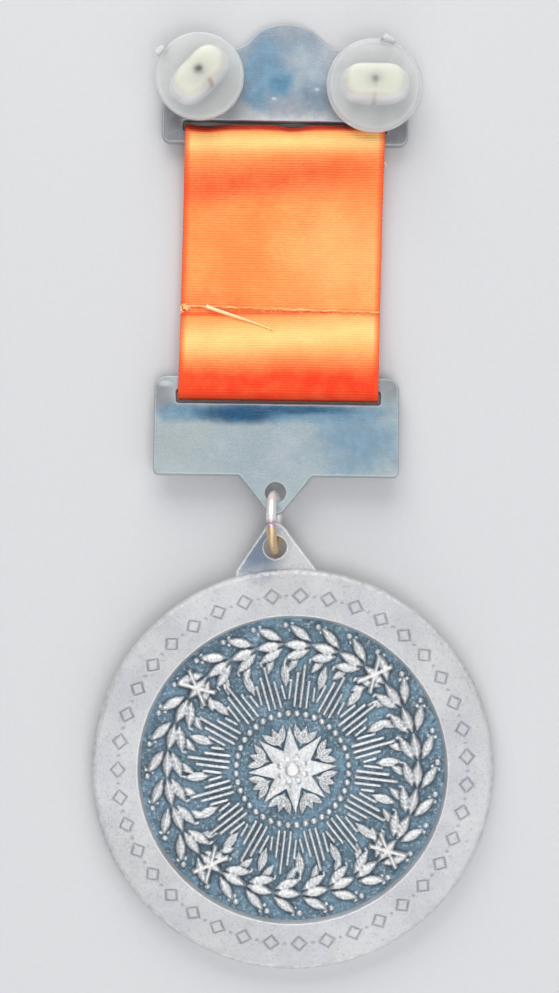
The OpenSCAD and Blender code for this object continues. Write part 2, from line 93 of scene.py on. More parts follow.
def rotated(x, y, degrees):
    """The same points in axes that are turned by an angle."""
    c, s = math.cos(math.radians(degrees)), math.sin(math.radians(degrees))
    return x * c + y * s, y * c - x * s


def ripple(x, y, pitch, seed):
    """Soft uneven waves from about -1 to 1, the same for the same seed."""
    rng = np.random.default_rng(seed)
    total = np.zeros_like(x)
    for _ in range(RIPPLE_WAVES):
        turn, phase = rng.uniform(0, FULL_TURN, 2)
        number = FULL_TURN / (pitch * rng.uniform(0.7, 1.6))
        total += np.sin(number * (x * math.cos(turn) + y * math.sin(turn)) + phase)
    return total / RIPPLE_SCALE


def ripple_along(x, pitch, seed):
    """The same waves along one line of places in metres, with the pitch in millimetres."""
    return ripple(x / MM, 0 * x, pitch, seed)


# The axes of the flat nodes


class Plate:
    """The axes of a flat node: x along it, y up it and z out of its back."""

    def __init__(self, node):
        mesh = frame["nodes"][node].data
        normal = self.widest(column(mesh.polygons, "normal", 3), column(mesh.polygons, "area"))
        side = -1 if normal[1] > 0 else 1
        self.turn = math.atan2(side * normal[0], -side * normal[1])
        self.tilt = side * math.acos(normal[2])
        self.axes = Matrix.Rotation(self.turn, 4, "Z") @ Matrix.Rotation(self.tilt, 4, "X")
        own = column(mesh.vertices, "co", 3) @ np.array(self.axes.to_3x3())
        self.low, self.high = own.min(axis=0), own.max(axis=0)
        self.middle_x = (self.low[0] + self.high[0]) / 2

    @staticmethod
    def widest(normals, areas):
        """The direction that most of the upper faces share."""
        up = normals[:, 2] > 0.9
        normals, areas = normals[up], areas[up]
        kinds, which = np.unique(np.round(normals, 3), axis=0, return_inverse=True)
        best = kinds[np.argmax(np.bincount(which.ravel(), areas))]
        near = np.linalg.norm(normals - best, axis=1) < 2e-3
        total = (normals[near] * areas[near, None]).sum(axis=0)
        return total / np.linalg.norm(total)

    def at(self, x, y, z):
        """The matrix of a piece whose own origin is at a point of these axes."""
        return self.axes @ Matrix.Translation((x, y, z))

    def own(self, point):
        """A point of the model in these axes."""
        return self.axes.to_3x3().transposed() @ Vector(point)


# Meshes

# Points closer than this become one
WELD = 0.0005 * MM


def loft(rings, caps=True, closed=False):
    """Points and faces of a skin through rings of equally many points."""
    rings = np.asarray(rings, float)
    count, around = rings.shape[:2]
    row = np.arange(count if closed else count - 1)[:, None]
    place = np.arange(around)[None, :]
    ahead, beside = (row + 1) % count, (place + 1) % around
    quads = np.stack(
        [row * around + place, row * around + beside, ahead * around + beside, ahead * around + place],
        axis=-1,
    ).reshape(-1, 4)
    faces = quads.tolist()
    if caps and not closed:
        faces.append(list(range(around))[::-1])
        faces.append(list(range((count - 1) * around, count * around)))
    return rings.reshape(-1, 3), faces


def turned(outline, sectors):
    """Rings round z from (radius, height) pairs; a radius may differ from angle to angle."""
    angles = circle(sectors)
    return np.stack([
        np.column_stack([radius * np.cos(angles), radius * np.sin(angles), np.full(sectors, z)])
        for radius, z in outline
    ])


def tube(line, radii, sides):
    """A round strand along a line, with a radius for each of its points."""
    line = np.asarray(line, float)
    ahead = np.gradient(line, axis=0)
    ahead /= np.linalg.norm(ahead, axis=1)[:, None]
    side = np.cross(ahead, [0.0, 0.0, 1.0]) + [1e-6, 0, 0]
    side /= np.linalg.norm(side, axis=1)[:, None]
    above = np.cross(side, ahead)
    c, s = np.cos(circle(sides))[:, None], np.sin(circle(sides))[:, None]
    radii = np.broadcast_to(radii, len(line))
    return loft([p + r * (c * a + s * b) for p, r, a, b in zip(line, radii, side, above)])


def joined(parts):
    """Several (points, faces) as one."""
    points, faces = [], []
    for part_points, part_faces in parts:
        start = sum(len(p) for p in points)
        points.append(np.asarray(part_points, float))
        faces += [[start + i for i in face] for face in part_faces]
    return np.concatenate(points), faces


def moved(part, matrix):
    """(points, faces) with the points put through a matrix."""
    points = np.asarray(part[0]) @ np.array(matrix.to_3x3()).T + np.array(matrix.translation)
    return points, part[1]


def add_piece(name, part, matrix=Matrix(), masks=None, sharp=40):
    """A mesh object with all its faces out, smooth up to an angle, and its masks as attributes."""
    points, faces = part
    mesh = bpy.data.meshes.new(name)
    mesh.from_pydata(np.asarray(points).tolist(), [], faces)
    for mask, values in (masks or {}).items():
        held = mesh.attributes.new(mask, "FLOAT", "POINT")
        held.data.foreach_set("value", np.asarray(values, np.float32))
    work = bmesh.new()
    work.from_mesh(mesh)
    bmesh.ops.remove_doubles(work, verts=work.verts, dist=WELD)
    bmesh.ops.recalc_face_normals(work, faces=work.faces)
    for edge in work.edges:
        edge.smooth = len(edge.link_faces) == 2 and edge.calc_face_angle(0.0) < math.radians(sharp)
    for face in work.faces:
        face.smooth = True
    work.to_mesh(mesh)
    work.free()
    piece = bpy.data.objects.new(name, mesh)
    piece.matrix_world = matrix
    bpy.context.scene.collection.objects.link(piece)
    return piece


def dress(piece, body, materials, nodes=()):
    """Gives a piece its materials and its body, and hides the nodes that it stands for."""
    for material in materials:
        piece.data.materials.append(material)
    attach(piece, body)
    if nodes:
        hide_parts(*nodes)
    return piece


# Flat outlines


def arc(centre, radius, start, end, steps=10):
    """Points of an arc from one angle to another, in degrees."""
    angles = np.radians(np.linspace(start, end, steps + 1))
    return np.column_stack([centre[0] + radius * np.cos(angles), centre[1] + radius * np.sin(angles)])


def rounded_box(low, high, corner, upper_corner=None):
    """A rectangle anticlockwise from two opposite corners, with its corners rounded."""
    top = corner if upper_corner is None else upper_corner
    return np.concatenate([
        arc((low[0] + corner, low[1] + corner), corner, 180, 270),
        arc((high[0] - corner, low[1] + corner), corner, 270, 360),
        arc((high[0] - top, high[1] - top), top, 0, 90),
        arc((low[0] + top, high[1] - top), top, 90, 180),
    ])


def pointed_lug(width, base, tip, radius):
    """The sides and the round tip of a lug along +y, from its right foot to its left one."""
    foot = np.array([width / 2, base])
    reach = foot - [0, tip - radius]
    angle = math.degrees(math.atan2(reach[1], reach[0]) + math.acos(radius / np.linalg.norm(reach)))
    top = arc((0, tip - radius), radius, angle, 180 - angle, 16)
    return np.concatenate([[foot], top, [foot * [-1, 1]]])


def spaced(loop, step):
    """A closed outline with more points on its long sides."""
    made = []
    for here, there in zip(loop, np.roll(loop, -1, axis=0)):
        count = max(1, int(np.linalg.norm(there - here) / step))
        made += [here + (there - here) * i / count for i in range(count)]
    made = np.array(made)
    apart = np.linalg.norm(made - np.roll(made, 1, axis=0), axis=1) > 0.01 * MM
    return made[apart]


def inset(loop, distance):
    """A closed outline moved to its left, into the metal, by a distance."""
    step = np.roll(loop, -1, axis=0) - loop
    left = np.column_stack([-step[:, 1], step[:, 0]]) / np.linalg.norm(step, axis=1)[:, None]
    normal = left + np.roll(left, 1, axis=0)
    normal /= np.linalg.norm(normal, axis=1)[:, None]
    lean = np.maximum((normal * left).sum(axis=1), 0.5)
    return loop + normal * (distance / lean)[:, None]


def within(points, loops):
    """Which points lie inside the outline and outside its holes."""
    inside = np.zeros(len(points), bool)
    for loop in loops:
        for (x0, y0), (x1, y1) in zip(loop, np.roll(loop, -1, axis=0)):
            across = (y0 > points[:, 1]) != (y1 > points[:, 1])
            if across.any():
                x = x0 + (points[:, 1] - y0) * (x1 - x0) / (y1 - y0 if y1 != y0 else 1.0)
                inside ^= across & (points[:, 0] < x)
    return inside


class Sheared:
    """A flat plate with rounded edges, from an anticlockwise outline and clockwise holes."""

    point_gap = 0.5 * MM
    bevel_steps = 4
    # From the rounding to where the wear has faded and to where the flat face starts
    fade, face_start = 0.05 * MM, 0.11 * MM
    # Triangles of the flat face, and how clear of its edge they start
    grid, clear = 0.6 * MM, 0.3 * MM
    edge_pitch, face_pitch = 3 * MM, 5 * MM
    face_uneven = 1.5

    def __init__(self, loops, thick, bevel, uneven, seed):
        self.loops = [spaced(loop, self.point_gap) for loop in loops]
        self.thick, self.bevel, self.uneven, self.seed = thick, bevel, uneven, seed

    def rings(self):
        """How far in and how high each ring of an edge is, with its share of wear."""
        bevel, thick = self.bevel, self.thick
        bend = np.radians(np.linspace(0, 90, self.bevel_steps + 1))
        low = [(bevel * (1 - math.sin(a)), bevel * (1 - math.cos(a)), 1.0) for a in bend]
        high = [(bevel * (1 - math.cos(a)), thick - bevel + bevel * math.sin(a), 1.0) for a in bend]
        near, far = bevel + self.fade, bevel + self.face_start
        return [(far, 0, 0), (near, 0, 0.4), *low, *high, (near, thick, 0.4), (far, thick, 0)]

    def ragged(self, loop):
        """The outline with the small unevenness of a cast edge."""
        return inset(loop, self.uneven * ripple(loop[:, 0], loop[:, 1], self.edge_pitch, self.seed))

    def build(self):
        """(points, faces) and the share of wear at each point."""
        parts, wear, inner = [], [], []
        for loop in map(self.ragged, self.loops):
            rings, count = [], len(loop)
            for away, z, worn in self.rings():
                outline = inset(loop, np.full(count, away))
                rings.append(np.column_stack([outline, np.full(count, z)]))
                wear.append(np.full(count, worn))
            parts.append(loft(rings, caps=False))
            inner.append(rings[0][:, :2])
        flat, triangles = self.cap(inner)
        for z, order in ((0.0, -1), (self.thick, 1)):
            rise = self.face_uneven * self.uneven * ripple(*flat.T, self.face_pitch, self.seed + 1)
            rise[: sum(map(len, inner))] = 0
            parts.append((np.column_stack([flat, z + rise]), [t[::order] for t in triangles]))
            wear.append(np.zeros(len(flat)))
        return joined(parts), np.concatenate(wear)

    def cap(self, inner):
        """The flat face inside the inner rings, in even triangles."""
        edge = np.concatenate(inner)
        low, high = edge.min(axis=0), edge.max(axis=0)
        x, y = np.meshgrid(*(np.arange(low[i], high[i], self.grid) for i in (0, 1)))
        odd_row = np.arange(len(x))[:, None] % 2
        grid = np.column_stack([(x + self.grid / 2 * odd_row).ravel(), y.ravel()])
        grid = grid[within(grid, inner)]
        away = np.min(np.linalg.norm(grid[:, None] - edge[None], axis=2), axis=1)
        points = np.concatenate([edge, grid[away > self.clear]])
        sides, start = [], 0
        for ring in inner:
            sides += [(start + i, start + (i + 1) % len(ring)) for i in range(len(ring))]
            start += len(ring)
        made = delaunay_2d_cdt([Vector(p / MM) for p in points], sides, [], 1, 1e-6)
        source = [origin[0] for origin in made[3]]
        triangles = [[source[i] for i in face] for face in made[2]]
        kept = within(np.array([points[t].mean(axis=0) for t in triangles]), inner)
        return points, [t for t, keep in zip(triangles, kept) if keep]


# Sizes and colours that a user may change


def length(name, text, value):
    """A length property, with its default given in millimetres."""
    return FloatProperty(name=name, description=text, default=value * MM, unit="LENGTH", precision=5)


def colour(name, text, value):
    """A colour property."""
    return FloatVectorProperty(
        name=name, description=text, default=value, size=3, min=0.0, max=1.0, subtype="COLOR"
    )


class JewelMetal(bpy.types.PropertyGroup):
    """Sizes of the medal, the bars and the ring."""

    rim_width: length("Rim width", "Width of the medal's raised rim band", 5.8)
    disc_thick: length("Disc thickness", "Thickness of the medal at its rim", 3.0)
    disc_edge: length("Disc edge", "Radius of the medal's rounded outer edge", 0.8)
    field_depth: length("Field depth", "Depth of the recessed field", 1.0)
    field_draft: length("Field draft", "How far the recess wall slopes in", 0.35)
    front_depth: length("Front depth", "Depth of the plain recess underneath", 0.5)
    medal_lug_thick: length("Medal lug thickness", "Thickness of the medal's lug", 1.3)
    medal_lug_width: length("Medal lug width", "Width of the medal's lug at its foot", 10.0)
    medal_lug_out: length("Medal lug reach", "From the disc's middle to the lug's tip", 30.8)
    medal_hole_up: length("Medal hole place", "From the disc's middle to the hole", 27.75)
    medal_hole: length("Medal hole", "Diameter of the hole in the medal's lug", 2.7)
    bar_thick: length("Bar thickness", "Thickness of both bars", 1.5)
    bar_bevel: length("Bar edge", "Radius of the bars' softened edges", 0.2)
    slot_round: length("Slot corner", "Radius of a slot's corners", 0.3)
    slot_width: length("Slot width", "Width of the ribbon slots", 25.4)
    top_strip: length("Top strip", "Height of the strip below the top bar's slot", 1.45)
    top_slot: length("Top slot", "Height of the top bar's slot", 1.4)
    shoulder: length("Shoulder height", "Height of the top bar at its shoulders", 12.1)
    arch_radius: length("Arch radius", "Radius of the top bar's arch", 5.9)
    arch_hollow: length("Arch hollow", "Radius of the hollow beside the arch", 2.6)
    bottom_height: length("Bottom bar height", "Height of the bottom bar without its lug", 12.4)
    bottom_strip: length("Bottom strip", "Height of the strip above the bottom bar's slot", 1.7)
    bottom_slot: length("Bottom slot", "Height of the bottom bar's slot", 1.7)
    bottom_slot_off: length("Slot offset", "How far the bottom slot sits to the right", 0.2)
    bar_hole: length("Bar hole", "Diameter of the hole in the bottom bar's lug", 2.5)
    wire: length("Ring wire", "Thickness of the jump ring's wire", 1.2)
    ring_gap: length("Ring gap", "Gap between the two ends of the ring's wire", 0.12)


class JewelSoft(bpy.types.PropertyGroup):
    """Sizes of the ribbon and the clutches."""

    ribbon_width: length("Ribbon width", "Width of the ribbon", 24.9)
    cloth: length("Cloth thickness", "Thickness of the ribbon's cloth", 0.36)
    rib_pitch: length("Rib pitch", "From one woven rib to the next", 0.33)
    hidden_end: length("Hidden end", "How far the lower end lies under the upper piece", 8.0)
    pin: length("Pin thickness", "Thickness of a pin", 1.1)
    collar: length("Collar diameter", "Diameter of a pin's soldered collar", 3.2)
    collar_high: length("Collar height", "Height of a pin's collar", 1.3)
    pad_left: length("Left pad", "Diameter of the left clutch's pad", 11.1)
    pad_right: length("Right pad", "Diameter of the right clutch's pad", 11.3)
    pad_thick: length("Pad thickness", "Thickness of a clutch's pad", 1.2)
    hub_long: length("Hub length", "Length of a clutch's hub", 7.9)
    hub_wide: length("Hub width", "Width of a clutch's hub", 4.7)
    hub_high: length("Hub height", "Height of a hub above its pad", 3.2)
    frays: IntProperty(name="Frays", description="Number of loose ends along the cut", default=90, min=0)


class JewelFinish(bpy.types.PropertyGroup):
    """Colours of the jewel."""

    silver: colour("Silver", "Clean metal of the medal's rim", (0.69, 0.695, 0.70))
    bar: colour("Bottom bar", "Clean metal of the bottom bar", (0.40, 0.455, 0.465))
    top_bar: colour("Top bar", "Clean metal of the top bar", (0.42, 0.43, 0.45))
    # Dull metal in places, and painted shadow under the clutch pads
    dull_and_shade: colour("Dull metal", "Metal that has gone dull in places", (0.17, 0.175, 0.19))
    relief: colour("Relief", "Worn metal on top of the cast relief", (0.80, 0.805, 0.81))
    field: colour("Field", "Patina on the floor of the field", (0.085, 0.145, 0.19))
    stain: colour("Stain", "Tarnish spots on the top bar", (0.08, 0.20, 0.30))
    stain_dark: colour("Dark stain", "Tarnish streak on the bottom bar", (0.003, 0.060, 0.135))
    brass: colour("Brass", "Metal where the ring's plating has gone", (0.68, 0.50, 0.30))
    ribbon: colour("Ribbon", "Middle colour of the ribbon", (1.0, 0.27, 0.065))
    # Painted highlight on the ribbon, where the cloth faces the light and on the crowns of the weave
    ribbon_highlight: colour("Ribbon light", "Ribbon where its threads catch the light", (1.0, 0.67, 0.24))
    # Painted shade on the ribbon where it turns away from the light
    ribbon_shade: colour("Ribbon deep", "Ribbon where it turns away from the light", (0.88, 0.040, 0.008))
    # Painted shade between the ribbon's threads
    ribbon_gap_shade: colour("Ribbon dark", "Ribbon between its threads", (0.62, 0.06, 0.015))
    rubber: colour("Rubber", "Milky rubber of the clutches", (0.79, 0.805, 0.79))
    hub: colour("Hub", "Yellowed top of a clutch's hub", (0.68, 0.69, 0.57))
    floor: colour("Floor", "Surface that the jewel lies on", (0.62, 0.62, 0.63))


# Node trees


class Graph:
    """Adds nodes to a tree, with numbers or sockets put into their inputs."""

    def __init__(self, tree):
        self.tree = tree

    def put(self, socket, value):
        """Links a socket or sets a value."""
        if isinstance(value, bpy.types.NodeSocket):
            self.tree.links.new(value, socket)
        elif hasattr(value, "__len__") and socket.type == "RGBA":
            socket.default_value = (*value[:3], 1.0)
        else:
            socket.default_value = value

    def node(self, kind, inputs=None, **settings):
        """A node with its settings and its inputs by name or number."""
        made = self.tree.nodes.new(kind)
        for name, value in settings.items():
            setattr(made, name, value)
        for name, value in (inputs or {}).items():
            self.put(made.inputs[name], value)
        return made

    def math(self, operation, a, b=0.0, clamp=False):
        """A math node's value."""
        return self.node("ShaderNodeMath", {0: a, 1: b}, operation=operation, use_clamp=clamp).outputs[0]

    def times(self, a, b, clamp=False):
        """Two values multiplied."""
        return self.math("MULTIPLY", a, b, clamp)

    def plus(self, a, b):
        """Two values added."""
        return self.math("ADD", a, b)

    def minus(self, a, b):
        """The first value less the second."""
        return self.math("SUBTRACT", a, b)

    def vector(self, operation, a, b=(0.0, 0.0, 0.0)):
        """A vector math node's vector, or its value for LENGTH."""
        second = "Scale" if operation == "SCALE" else 1
        made = self.node("ShaderNodeVectorMath", {0: a, second: b}, operation=operation)
        return made.outputs["Value" if operation == "LENGTH" else "Vector"]

    def sweep(self, value, start, end, low=0.0, high=1.0):
        """A value taken smoothly from low at start to high at end."""
        inputs = {"Value": value, "From Min": start, "From Max": end, "To Min": low, "To Max": high}
        return self.node("ShaderNodeMapRange", inputs, interpolation_type="SMOOTHSTEP").outputs[0]

    def mix(self, amount, a, b):
        """A colour between two colours."""
        made = self.node("ShaderNodeMix", data_type="RGBA", clamp_factor=True)
        for socket, value in ((made.inputs[0], amount), (made.inputs[6], a), (made.inputs[7], b)):
            self.put(socket, value)
        return made.outputs[2]

    def noise(self, point, scale, detail=3.0, rough=0.55):
        """A noise value from about 0.25 to 0.75."""
        inputs = {"Vector": point, "Scale": scale, "Detail": detail, "Roughness": rough}
        return self.node("ShaderNodeTexNoise", inputs).outputs["Fac"]

    def tinted(self, base, mask, most, tone):
        """A colour with a tone laid over it where a mask says, up to a share."""
        return self.mix(self.times(mask, most), base, tone)

    def patches(self, point, base, rows):
        """A colour with patches of noise laid over it.

        Each row is the noise's scale, detail and roughness, the values where a patch starts
        and is full, its share when full, and its tone.
        """
        for scale, detail, rough, start, full, most, tone in rows:
            amount = self.sweep(self.noise(point, scale, detail, rough), start, full, 0.0, most)
            base = self.mix(amount, base, tone)
        return base

    def millimetres(self):
        """The piece's own coordinates in millimetres."""
        return self.vector("SCALE", self.node("ShaderNodeTexCoord").outputs["Object"], 1 / MM)

    def mask(self, name):
        """A value that the mesh holds for each of its points."""
        return self.node("ShaderNodeAttribute", attribute_name=name).outputs["Fac"]

    def group(self, tree, **inputs):
        """A node group's outputs, by name."""
        made = self.node("ShaderNodeGroup", node_tree=tree)
        for name, value in inputs.items():
            self.put(made.inputs[name], value)
        return made.outputs


def node_group(name, inputs, outputs, fill):
    """A shared node group: fill(graph, inputs) gives the sockets for its outputs."""
    if name in bpy.data.node_groups:
        return bpy.data.node_groups[name]
    tree = bpy.data.node_groups.new(name, "ShaderNodeTree")
    for label, (kind, value) in inputs.items():
        socket = tree.interface.new_socket(label, in_out="INPUT", socket_type=kind)
        if value is not None:
            socket.default_value = value
    for label in outputs:
        tree.interface.new_socket(label, in_out="OUTPUT", socket_type="NodeSocketFloat")
    graph = Graph(tree)
    results = fill(graph, graph.node("NodeGroupInput").outputs)
    graph.node("NodeGroupOutput", dict(zip(outputs, results)))
    return tree


NUMBER = "NodeSocketFloat"
VECTOR = "NodeSocketVector"


def spot_group():
    """A stain with a ragged edge round a place, 1 in its middle."""

    def fill(g, given):
        noise = g.node("ShaderNodeTexNoise", {"Vector": given["Point"], "Scale": 0.45, "Detail": 3.0})
        shift = g.vector("SUBTRACT", noise.outputs["Color"], (0.5, 0.5, 0.5))
        away = g.vector("DIVIDE", g.vector("SUBTRACT", given["Point"], given["Place"]), given["Size"])
        away = g.vector("ADD", away, g.vector("SCALE", shift, given["Ragged"]))
        flat = g.vector("MULTIPLY", away, (1.0, 1.0, 0.0))
        return [g.sweep(g.vector("LENGTH", flat), 1.25, 0.30)]

    inputs = {
        "Point": (VECTOR, None),
        "Place": (VECTOR, None),
        "Size": (VECTOR, (1, 1, 1)),
        "Ragged": (NUMBER, 1.2),
    }
    return node_group("Tarnish spot", inputs, ["Mask"], fill)


def stipple_group():
    """The fine pits of a cast and sandblasted face, as a height and as a mask of the pits."""

    def fill(g, given):
        fine = g.noise(given["Point"], given["Scale"], 4.0, 0.65)
        cells = g.node("ShaderNodeTexVoronoi", {"Vector": given["Point"], "Scale": given["Scale"]})
        rare = g.sweep(g.noise(given["Point"], 0.9, 2.0), 0.52, 0.62)
        pit = g.times(g.sweep(cells.outputs["Distance"], 0.28, 0.05), rare)
        return [g.minus(fine, g.times(pit, 0.5)), pit]

    inputs = {"Point": (VECTOR, None), "Scale": (NUMBER, 3.0)}
    return node_group("Stipple", inputs, ["Height", "Pits"], fill)


def wear_group():
    """Metal rubbed bright along the edges that a mesh names, broken up unevenly."""

    def fill(g, given):
        broken = g.minus(g.times(g.noise(given["Point"], 1.3, 5.0, 0.6), 1.6), 0.95)
        return [g.sweep(g.plus(given["Edge"], broken), 0.25, 0.85)]

    return node_group("Edge wear", {"Point": (VECTOR, None), "Edge": (NUMBER, 0.0)}, ["Mask"], fill)


def brushing_group():
    """Fine scratches along the piece's own x, with a few crossing ones."""

    def fill(g, given):
        def stretched(scale, turn):
            """The point in axes that draw a noise out into lines."""
            inputs = {"Vector": given["Point"], "Scale": scale, "Rotation": (0.0, 0.0, turn)}
            return g.node("ShaderNodeMapping", inputs).outputs[0]

        lines = g.noise(stretched((0.35, 9.0, 9.0), 0.12), 1.0)
        crossing = g.sweep(g.noise(stretched((0.5, 14.0, 9.0), 1.1), 1.0, 2.0), 0.60, 0.68)
        return [g.minus(lines, g.times(crossing, 0.35)), crossing]

    return node_group("Brushing", {"Point": (VECTOR, None)}, ["Height", "Scratches"], fill)


def weave_group():
    """Cross ribs with their warp threads, from millimetres along and across the ribbon."""

    def fill(g, given):
        def wave(turns):
            """From 0 to 1 and back for each whole number."""
            return g.math("ABSOLUTE", g.math("SINE", g.times(turns, math.pi)))

        wander = g.times(g.noise(given["Point"], 0.25, 1.0), 0.22)
        row = g.math("DIVIDE", g.plus(given["Along"], wander), given["Pitch"])
        every_other = g.times(g.math("FLOOR", row), 0.5)
        thread = g.plus(g.math("DIVIDE", given["Across"], g.times(given["Pitch"], 0.9)), every_other)
        rib, warp = wave(row), wave(thread)
        height = g.times(rib, g.plus(g.times(warp, 0.45), 0.55))
        shown = g.sweep(g.noise(given["Point"], 1.8), 0.40, 0.58, 0.30, 1.0)
        # Painted shade in the gaps between the threads, broken up into dots
        gap_shade = g.times(g.sweep(rib, 0.62, 0.0), g.sweep(warp, 0.85, 0.25, 0.05, 1.0))
        return [height, g.times(gap_shade, shown), g.sweep(height, 0.55, 1.0)]

    inputs = {
        "Point": (VECTOR, None),
        "Along": (NUMBER, 0.0),
        "Across": (NUMBER, 0.0),
        "Pitch": (NUMBER, 0.33),
    }
    return node_group("Weave", inputs, ["Height", "Gaps", "Crowns"], fill)


# Materials

# Tones that the metal takes on in places, and tones of painted shade and reflection on it
BLUE_GREY = (0.30, 0.38, 0.44)
LILAC_GREY = (0.52, 0.49, 0.55)
PALE_METAL = (0.78, 0.78, 0.80)
SCRATCH = (0.80, 0.80, 0.82)
BAR_PIT = (0.20, 0.21, 0.24)
DARK_GRAIN = (0.20, 0.24, 0.30)
LIGHT_GRAIN = (0.72, 0.75, 0.78)
WORN_BAR = (0.66, 0.67, 0.68)
RIM_LILAC = (0.52, 0.50, 0.62)
RIM_GREY = (0.30, 0.32, 0.38)
RIM_SPOT = (0.20, 0.25, 0.33)
RIM_PIT = (0.16, 0.17, 0.21)
GROOVE = (0.26, 0.28, 0.33)
WORN_RIM = (0.86, 0.85, 0.84)
FIELD_PALE = (0.46, 0.53, 0.57)
FIELD_DEEP = (0.04, 0.075, 0.105)
# Patina and painted shade in the hollows round the relief
FIELD_HOLLOW_PATINA_AND_SHADE = (0.05, 0.07, 0.095)
WARM_TOP = (0.80, 0.77, 0.72)
# Pale plating and painted reflection on the ring's upper half
PLATING_AND_REFLECTION = (1.0, 0.94, 0.92)
BROWN = (0.42, 0.27, 0.13)
# Painted dark reflection at the ring's joint
PURPLE_REFLECTION = (0.34, 0.22, 0.36)
# Tones of the ribbon and of the rubber
ORANGE_LIGHT = (1.0, 0.36, 0.10)
ORANGE_YARN = (0.88, 0.17, 0.035)
SELVAGE = (0.90, 0.075, 0.018)
# Painted shade where the ribbon dives into the top slot
TUCK_SHADE = (0.15, 0.015, 0.006)
SHEEN = (1.0, 0.55, 0.25, 1.0)
# Painted highlight along a pad's rounded rim, and the white of the nub
RUBBER_RIM_HIGHLIGHT_AND_NUB = (0.97, 0.97, 0.96)
RUBBER_HUB = (0.97, 0.97, 0.94)
RUBBER_STAIN = (0.30, 0.16, 0.08)
# Threads as their tone and the tone of their tips
ORANGE_THREAD = ((0.95, 0.34, 0.10), (1.0, 0.60, 0.28))
PALE_THREAD = ((1.0, 0.80, 0.50), (1.0, 0.64, 0.24))
YELLOW_THREAD = ((1.0, 0.62, 0.20), (1.0, 0.78, 0.42))


def shade(tone, part):
    """A tone made darker or lighter."""
    return [c * part for c in tone]


def material(name):
    """A new material, its graph and its shader node."""
    made = bpy.data.materials.new(name)
    made.use_nodes = True
    return made, Graph(made.node_tree), made.node_tree.nodes["Principled BSDF"]


def bumped(g, shader, heights):
    """Bump nodes in a chain, from (height, distance in metres) pairs, into a shader."""
    normal = None
    for height, distance in heights:
        bump = g.node("ShaderNodeBump", {"Height": height, "Distance": distance, "Strength": 1.0})
        if normal is not None:
            g.put(bump.inputs["Normal"], normal)
        normal = bump.outputs[0]
    g.put(shader.inputs["Normal"], normal)


def placed_spot(g, point, place, size, amount, ragged):
    """The share of a spot round a place, in millimetres of the piece's own x and y."""
    spot = g.group(spot_group(), Point=point, Place=(*place, 0.0), Size=(*size, 1.0), Ragged=ragged)
    return g.times(spot["Mask"], amount)


def bar_metal(name, finish, clean, spots, pale):
    """Satin silvered metal with placed spots of patina, of dull metal and of painted shadow, and small
    pale marks.
    """
    made, g, shader = material(name)
    point = g.millimetres()
    brushing = g.group(brushing_group(), Point=point)
    stipple = g.group(stipple_group(), Point=point, Scale=4.0)
    wear = g.group(wear_group(), Point=point, Edge=g.mask("edge"))["Mask"]
    cloud = g.noise(point, 0.22, 4.0, 0.6)
    base = g.mix(g.sweep(cloud, 0.34, 0.66), shade(clean, 0.86), clean)
    base = g.patches(point, base, (
        (0.55, 4.0, 0.6, 0.48, 0.66, 0.35, BLUE_GREY),
        (0.34, 3.0, 0.6, 0.50, 0.68, 0.30, LILAC_GREY),
    ))
    mottled = g.sweep(g.noise(point, 0.7, 4.0, 0.6), 0.36, 0.68)
    patina = 0.0
    # The spots hold patina, dull metal and painted shadow
    for tone_name, place, size, amount, ragged in spots:
        tone = getattr(finish, tone_name)
        spot = placed_spot(g, point, place, size, amount, ragged)
        patina = g.math("MAXIMUM", patina, spot)
        base = g.mix(spot, base, g.mix(mottled, tone, shade(tone, 1.3)))
    for place, size in pale:
        base = g.mix(placed_spot(g, point, place, size, 0.4, 0.7), base, PALE_METAL)
    base = g.tinted(base, stipple["Pits"], 0.4, BAR_PIT)
    base = g.tinted(base, brushing["Scratches"], 0.10, SCRATCH)
    grain = g.noise(point, 5.5, 3.0, 0.7)
    shown = g.sweep(patina, 0.0, 1.0, 1.0, 0.25)
    base = g.tinted(base, shown, g.sweep(grain, 0.50, 0.68, 0.0, 0.18), DARK_GRAIN)
    base = g.tinted(base, shown, g.sweep(grain, 0.48, 0.32, 0.0, 0.16), LIGHT_GRAIN)
    g.put(shader.inputs["Base Color"], g.tinted(base, wear, 0.38, WORN_BAR))
    g.put(shader.inputs["Metallic"], g.sweep(patina, 0.0, 1.0, 0.85, 0.45))
    g.put(shader.inputs["Roughness"], g.sweep(g.plus(cloud, g.times(wear, 0.3)), 0.2, 0.9, 0.50, 0.64))
    bumped(g, shader, [(brushing["Height"], 0.006 * MM), (stipple["Height"], 0.03 * MM)])
    return made


def rim_metal(finish):
    """The medal's body: stippled silver, dark in the engraved lines, bright on its edges."""
    made, g, shader = material("Medal rim")
    point = g.millimetres()
    stipple = g.group(stipple_group(), Point=point, Scale=5.0)
    wear = g.group(wear_group(), Point=point, Edge=g.mask("edge"))["Mask"]
    cloud = g.noise(point, 0.12, 4.0, 0.6)
    base = g.mix(g.sweep(cloud, 0.36, 0.64), shade(finish.silver, 0.86), finish.silver)
    base = g.patches(point, base, (
        (0.16, 3.0, 0.6, 0.46, 0.62, 0.22, RIM_LILAC),
        (2.6, 5.0, 0.7, 0.52, 0.72, 0.45, RIM_GREY),
    ))
    base = g.mix(placed_spot(g, point, (-4.4, 27.0), (3.6, 3.6), 0.95, 0.8), base, RIM_SPOT)
    base = g.tinted(base, stipple["Pits"], 0.6, RIM_PIT)
    base = g.tinted(base, g.mask("groove"), 0.38, GROOVE)
    g.put(shader.inputs["Base Color"], g.tinted(base, wear, 0.7, WORN_RIM))
    g.put(shader.inputs["Roughness"], g.sweep(g.minus(cloud, g.times(wear, 0.3)), 0.1, 0.7, 0.50, 0.64))
    shader.inputs["Metallic"].default_value = 0.9
    bumped(g, shader, [(stipple["Height"], 0.11 * MM), (g.noise(point, 2.0, 4.0, 0.7), 0.10 * MM)])
    return made


